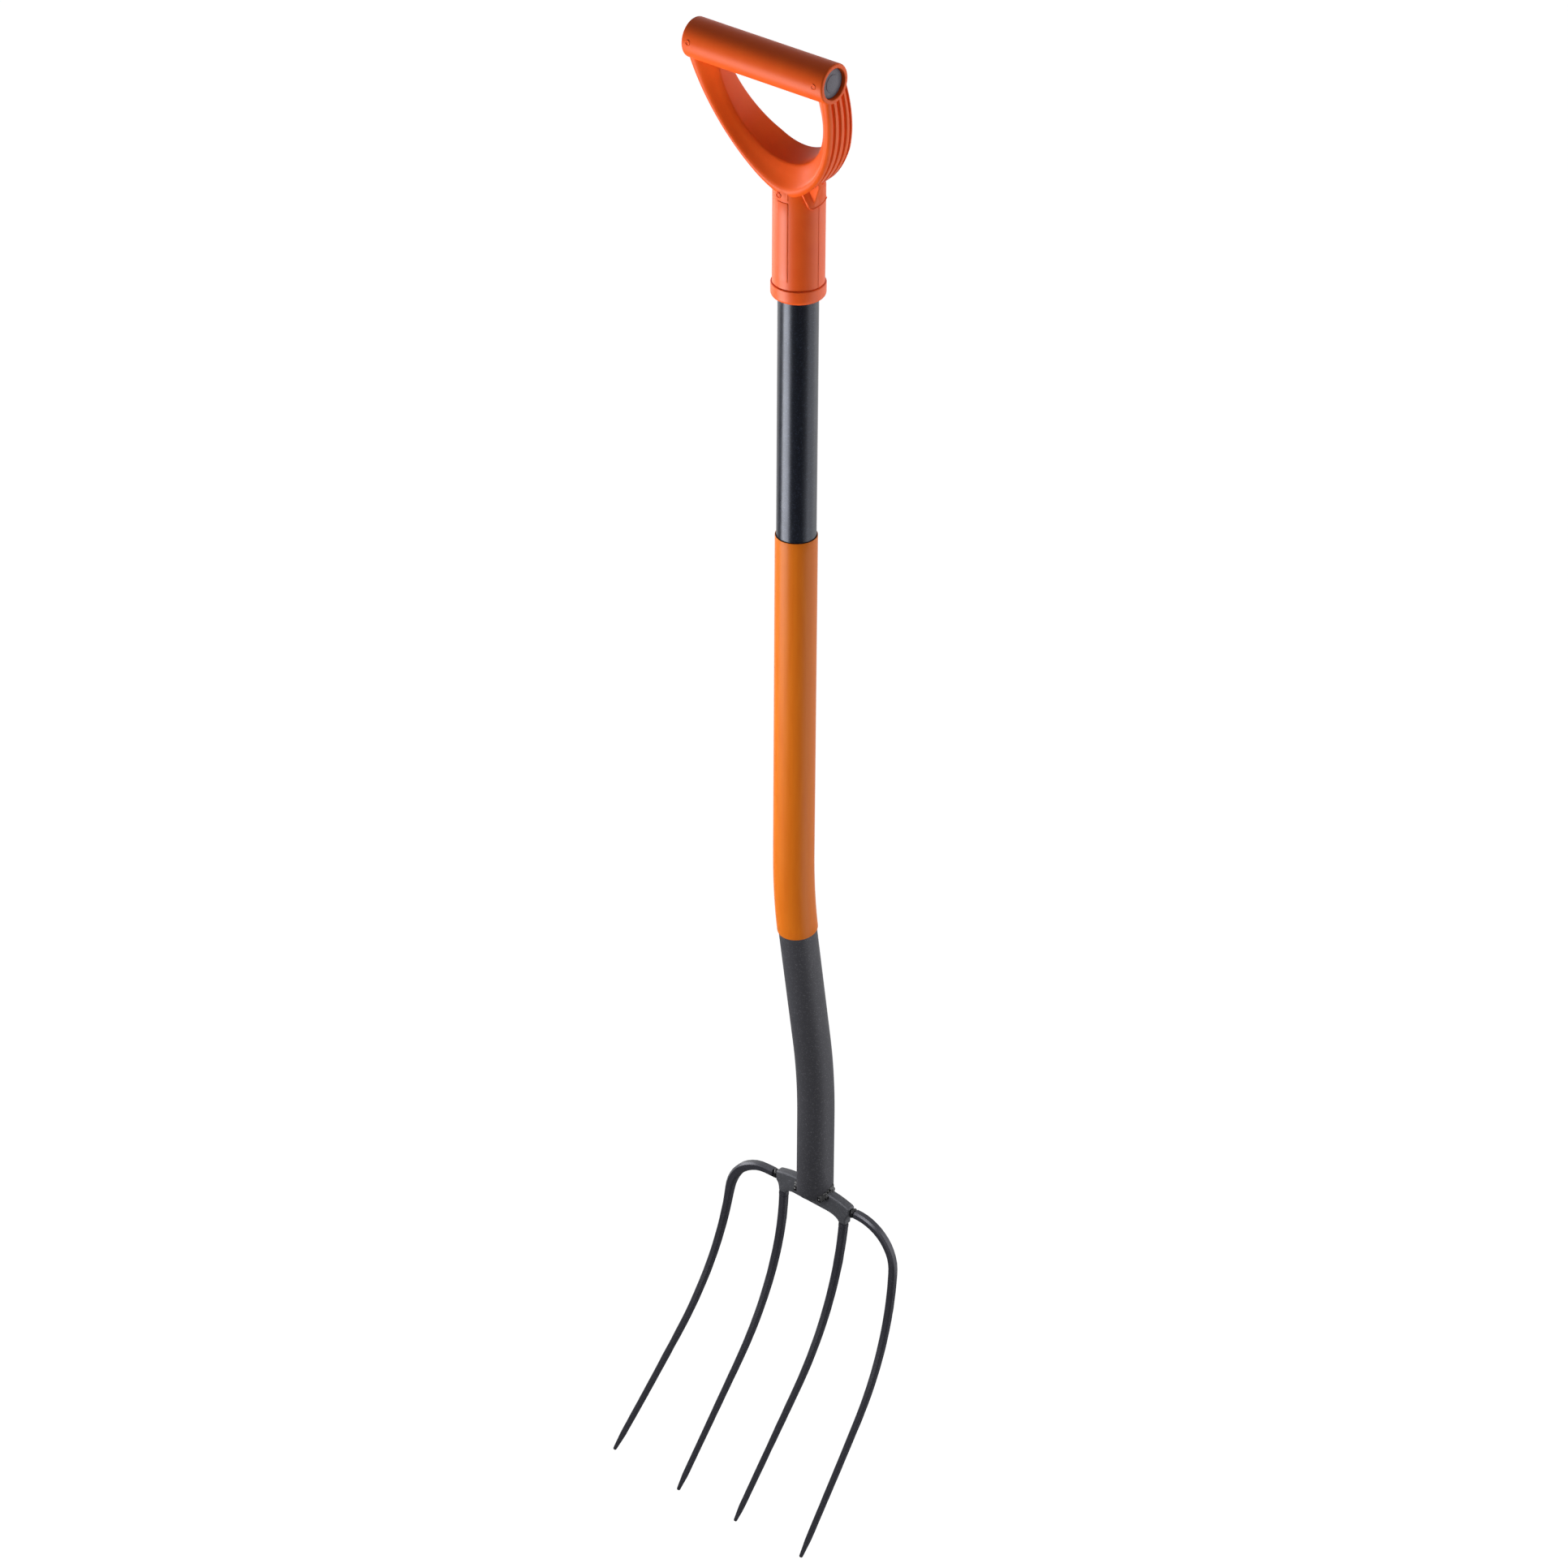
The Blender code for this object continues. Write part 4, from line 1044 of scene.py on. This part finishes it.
def plug_plastic():
    """Dull grey-black moulded plug: coarse grain that scatters the light."""
    material, tree, shader, place = start_material("grey_black_polyethylene", Roughness=0.6)
    grain = add_node(tree, "ShaderNodeTexNoise", {"Vector": place, "Scale": per_mm(1.1), "Detail": 4.0})
    coarse = grain.outputs["Fac"]
    finish_surface(tree, shader, coarse, ("#45454D", "#6E6C78"), relief=(coarse, 0.4, 0.2))
    return material


def zinc_plate():
    """Zinc-plated steel: pale grey metal, dulled in patches by handling."""
    material, tree, shader, place = start_material("zinc_plated_steel", Metallic=1.0)
    patch = add_node(tree, "ShaderNodeTexNoise", {"Vector": place, "Scale": per_mm(2.5), "Detail": 4.0})
    patchy = patch.outputs["Fac"]
    finish_surface(tree, shader, patchy, ("#8C8F94", "#B9BCC0"), sheen=(patchy, 0.28, 0.5))
    return material


def fade_shine(material, span, below):
    """Lets a material's shine change with the level, from its own above a span to another below it."""
    tree = material.node_tree
    shine = tree.nodes["Principled BSDF"].inputs["Specular IOR Level"]
    place = add_node(tree, "ShaderNodeTexCoord").outputs["Object"]
    height = add_node(tree, "ShaderNodeSeparateXYZ", {"Vector": place}).outputs["Z"]
    high, low = (at(0, 0, level).z for level in span)
    change = {"Value": height, "From Min": low, "From Max": high,
              "To Min": below, "To Max": shine.default_value}
    fade = add_node(tree, "ShaderNodeMapRange", change)
    tree.links.new(fade.outputs["Result"], shine)


orange = moulded_polypropylene()
vinyl = sleeve_vinyl()
lacquer = sparkle_coat("black_sparkle_lacquer", "#12141B", "#3C4454",
                       rough=0.3, shine=0.44, tint="#E8EEFF", flake=0.5, peel=2.2)
powder = sparkle_coat("charcoal_powder_coat", "#323236", "#555559",
                      rough=0.56, shine=0.4, tint="#F4F4FF", flake=0.7, peel=1.0)
# The plate's coat is the charcoal powder coat made lighter: painted light, standing in for front light on the
# plate that the lamps don't give it.
plate_coat_painted_light = sparkle_coat("charcoal_plate_coat_painted_light", "#48494D", "#6C6D71",
                          rough=0.44, shine=0.45, tint="#F4F4FF", flake=0.7, peel=1.0)
enamel = sparkle_coat("black_dipped_enamel", "#34343A", "#46464E",
                      rough=0.28, shine=0.4, tint="#F4F4FF", flake=0.7, peel=3.0)
glaze = sparkle_coat("black_enamel_on_weld", "#121215", "#24242A",
                     rough=0.18, shine=0.4, tint="#FFFFFF", flake=0.7, peel=1.5)
dull_plug = plug_plastic()
zinc = zinc_plate()

# The mould is grained round the loop and polished at the socket. The enamel pooled on the arms and drained
# off the tines.
fade_shine(orange, POLISH_SPAN, 0.34)
fade_shine(enamel, POOL_SPAN, 0.08)


# Every piece, with its material and the node it stands for.


def dress(piece, material, slot, *nodes):
    """Gives a piece its material, hangs it on the frame's root and hides the frame's parts that it stands in
    for.
    """
    piece.data.materials.clear()
    piece.data.materials.append(material)
    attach(piece, "root")
    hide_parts(*nodes)


def coat_lower_tube(tube):
    """Gives the tube its second coat, which takes over from the first under the sleeve."""
    tube.data.materials.append(powder)
    change_height = (GRIP_RADIUS - (SLEEVE_TOP + SLEEVE_FOOT) / 2) * MM
    for face in tube.data.polygons:
        face.material_index = 1 if face.center.z < change_height else 0


dress(make_handle(), orange, "handle_plastic", "d_handle")
for side, hand in ((-1, "left"), (1, "right")):
    dress(make_plug(side, f"plug_cap_{hand}"), dull_plug, "plug_plastic", f"grip_plug_{hand}")
dress(make_rivet(), zinc, "rivet_steel", "handle_rivet")

tube = make_tube()
dress(tube, lacquer, "tube_coat", "shaft_tube")
coat_lower_tube(tube)
dress(make_sleeve(), vinyl, "sleeve_plastic", "shaft_sleeve")

dress(make_bridge(), plate_coat_painted_light, "head_coat", "head_bridge")
for side, hand in ((-1, "left"), (1, "right")):
    for outer, row in ((True, "outer"), (False, "inner")):
        dress(forge_tine(f"forged_tine_{row}_{hand}", outer, side), enamel, "head_coat", f"tine_{row}_{hand}")
    dress(make_arm_bead(f"bead_outer_{hand}", side), glaze, "weld_coat", f"weld_outer_{hand}")
    dress(make_ground_joint(f"joint_inner_{hand}", side), enamel, "weld_coat", f"weld_inner_{hand}")
    dress(make_tube_bead(f"bead_tube_{hand}", side), glaze, "weld_coat", f"weld_tube_{hand}")


# The studio: a pale floor well below the tips, and soft boxes round the fork.


def background_rays(tree):
    """The camera's rays, and all that show the white background: also those off gloss and through glass."""
    path = add_node(tree, "ShaderNodeLightPath")
    camera_ray = path.outputs["Is Camera Ray"]
    shown = camera_ray
    for kind in ("Is Glossy Ray", "Is Transmission Ray"):
        either = {0: shown, 1: path.outputs[kind]}
        shown = add_node(tree, "ShaderNodeMath", either, operation="MAXIMUM").outputs[0]
    return camera_ray, shown


def make_floor():
    """Pale paper that takes the shadow, white to the camera, and white behind the fork to gloss."""
    height = cad_box[0][2] - FLOOR_DROP
    floor = begin("studio_floor", bpy.ops.mesh.primitive_plane_add, size=FLOOR_SIZE, location=(0, 0, height))
    bpy.ops.mesh.subdivide(number_cuts=3)
    bpy.ops.object.mode_set(mode="OBJECT")
    material = bpy.data.materials.new("white_paper_floor")
    material.use_nodes = True
    tree = material.node_tree
    tree.nodes.clear()
    paper = add_node(tree, "ShaderNodeBsdfDiffuse", {"Color": paint("#A8A8A8")}).outputs[0]
    glow = add_node(tree, "ShaderNodeEmission", {"Color": paint("#FFFFFF"), "Strength": 0.95}).outputs[0]
    white = add_node(tree, "ShaderNodeAddShader", {0: paper, 1: glow}).outputs[0]
    camera_ray, shown = background_rays(tree)
    place = add_node(tree, "ShaderNodeTexCoord").outputs["Object"]
    away = (-math.sin(CAMERA_AZIMUTH), math.cos(CAMERA_AZIMUTH), 0)
    distance = add_node(tree, "ShaderNodeVectorMath", {0: place, 1: away}, operation="DOT_PRODUCT")
    start, end = WHITE_FLOOR_SPAN
    change = {"Value": distance.outputs["Value"], "From Min": start, "From Max": end}
    behind = add_node(tree, "ShaderNodeMapRange", change).outputs["Result"]
    gloss = add_node(tree, "ShaderNodeMath", {0: shown, 1: behind}, operation="MULTIPLY").outputs[0]
    either = add_node(tree, "ShaderNodeMath", {0: camera_ray, 1: gloss}, operation="MAXIMUM").outputs[0]
    seen = add_node(tree, "ShaderNodeMixShader", {0: either, 1: paper, 2: white}).outputs[0]
    add_node(tree, "ShaderNodeOutputMaterial", {"Surface": seen})
    floor.data.materials.append(material)


def make_softbox(name, azimuth, distance, height, tilt, wide, tall, power):
    """A soft box that faces the shaft from an azimuth round it, tilted up, or down by a negative angle."""
    turned, tilted = math.radians(azimuth), math.radians(tilt)
    out = Vector((math.sin(turned), -math.cos(turned), 0))
    away = out * math.cos(tilted) - UP * math.sin(tilted)
    lamp = bpy.data.lights.new(name, "AREA")
    lamp.shape = "RECTANGLE"
    lamp.size = wide
    lamp.size_y = tall
    lamp.energy = power
    box = bpy.data.objects.new(name, lamp)
    box.location = Vector((0, LAMP_AXIS_BACK, height)) + out * distance
    box.rotation_euler = away.to_track_quat("Z", "Y").to_euler()
    bpy.context.scene.collection.objects.link(box)


def make_world():
    """Dim room light, and white to the camera and to gloss past the floor."""
    world = bpy.data.worlds.new("studio")
    bpy.context.scene.world = world
    world.use_nodes = True
    tree = world.node_tree
    tree.nodes.clear()
    room = add_node(tree, "ShaderNodeBackground", {"Color": paint("#FFFFFF"), "Strength": 0.17})
    white = add_node(tree, "ShaderNodeBackground", {"Color": paint("#FFFFFF"), "Strength": 1.0})
    shown = background_rays(tree)[1]
    seen = add_node(tree, "ShaderNodeMixShader", {0: shown, 1: room.outputs[0], 2: white.outputs[0]})
    add_node(tree, "ShaderNodeOutputWorld", {"Surface": seen.outputs[0]})


def make_camera():
    """The photograph's view: a long lens, from the right and above."""
    level = math.cos(CAMERA_ELEVATION)
    back = Vector((math.sin(CAMERA_AZIMUTH) * level, -math.cos(CAMERA_AZIMUTH) * level,
                   math.sin(CAMERA_ELEVATION)))
    right = Vector((math.cos(CAMERA_AZIMUTH), math.sin(CAMERA_AZIMUTH), 0))
    up = back.cross(right)
    right, up = (right * math.cos(CAMERA_ROLL) + up * math.sin(CAMERA_ROLL),
                 up * math.cos(CAMERA_ROLL) - right * math.sin(CAMERA_ROLL))
    lens = bpy.data.cameras.new("camera")
    lens.sensor_width = 36
    lens.lens = FOCAL_PIXELS * lens.sensor_width / IMAGE_PIXELS
    lens.clip_end = 100
    camera = bpy.data.objects.new("camera", lens)
    place = Matrix((right, up, back)).transposed().to_4x4()
    place.translation = CAMERA_PLACE
    camera.matrix_world = place
    bpy.context.scene.collection.objects.link(camera)
    bpy.context.scene.camera = camera


make_floor()
make_softbox("front_left_box", azimuth=-29, distance=1.3, height=-0.8, tilt=72,
             wide=0.85, tall=1.0, power=30)
make_softbox("left_box", azimuth=-82, distance=1.6, height=-0.5, tilt=-25,
             wide=1.0, tall=0.8, power=18)
make_softbox("head_box", azimuth=-12, distance=0.95, height=-0.15, tilt=-90,
             wide=0.6, tall=0.45, power=9)
make_softbox("back_right_box", azimuth=130, distance=1.5, height=-0.75, tilt=0,
             wide=2.0, tall=2.2, power=24)
make_softbox("low_right_box", azimuth=100, distance=1.5, height=-1.9, tilt=30,
             wide=1.2, tall=1.0, power=9)
make_world()
make_camera()
bpy.context.scene.view_settings.view_transform = "Standard"
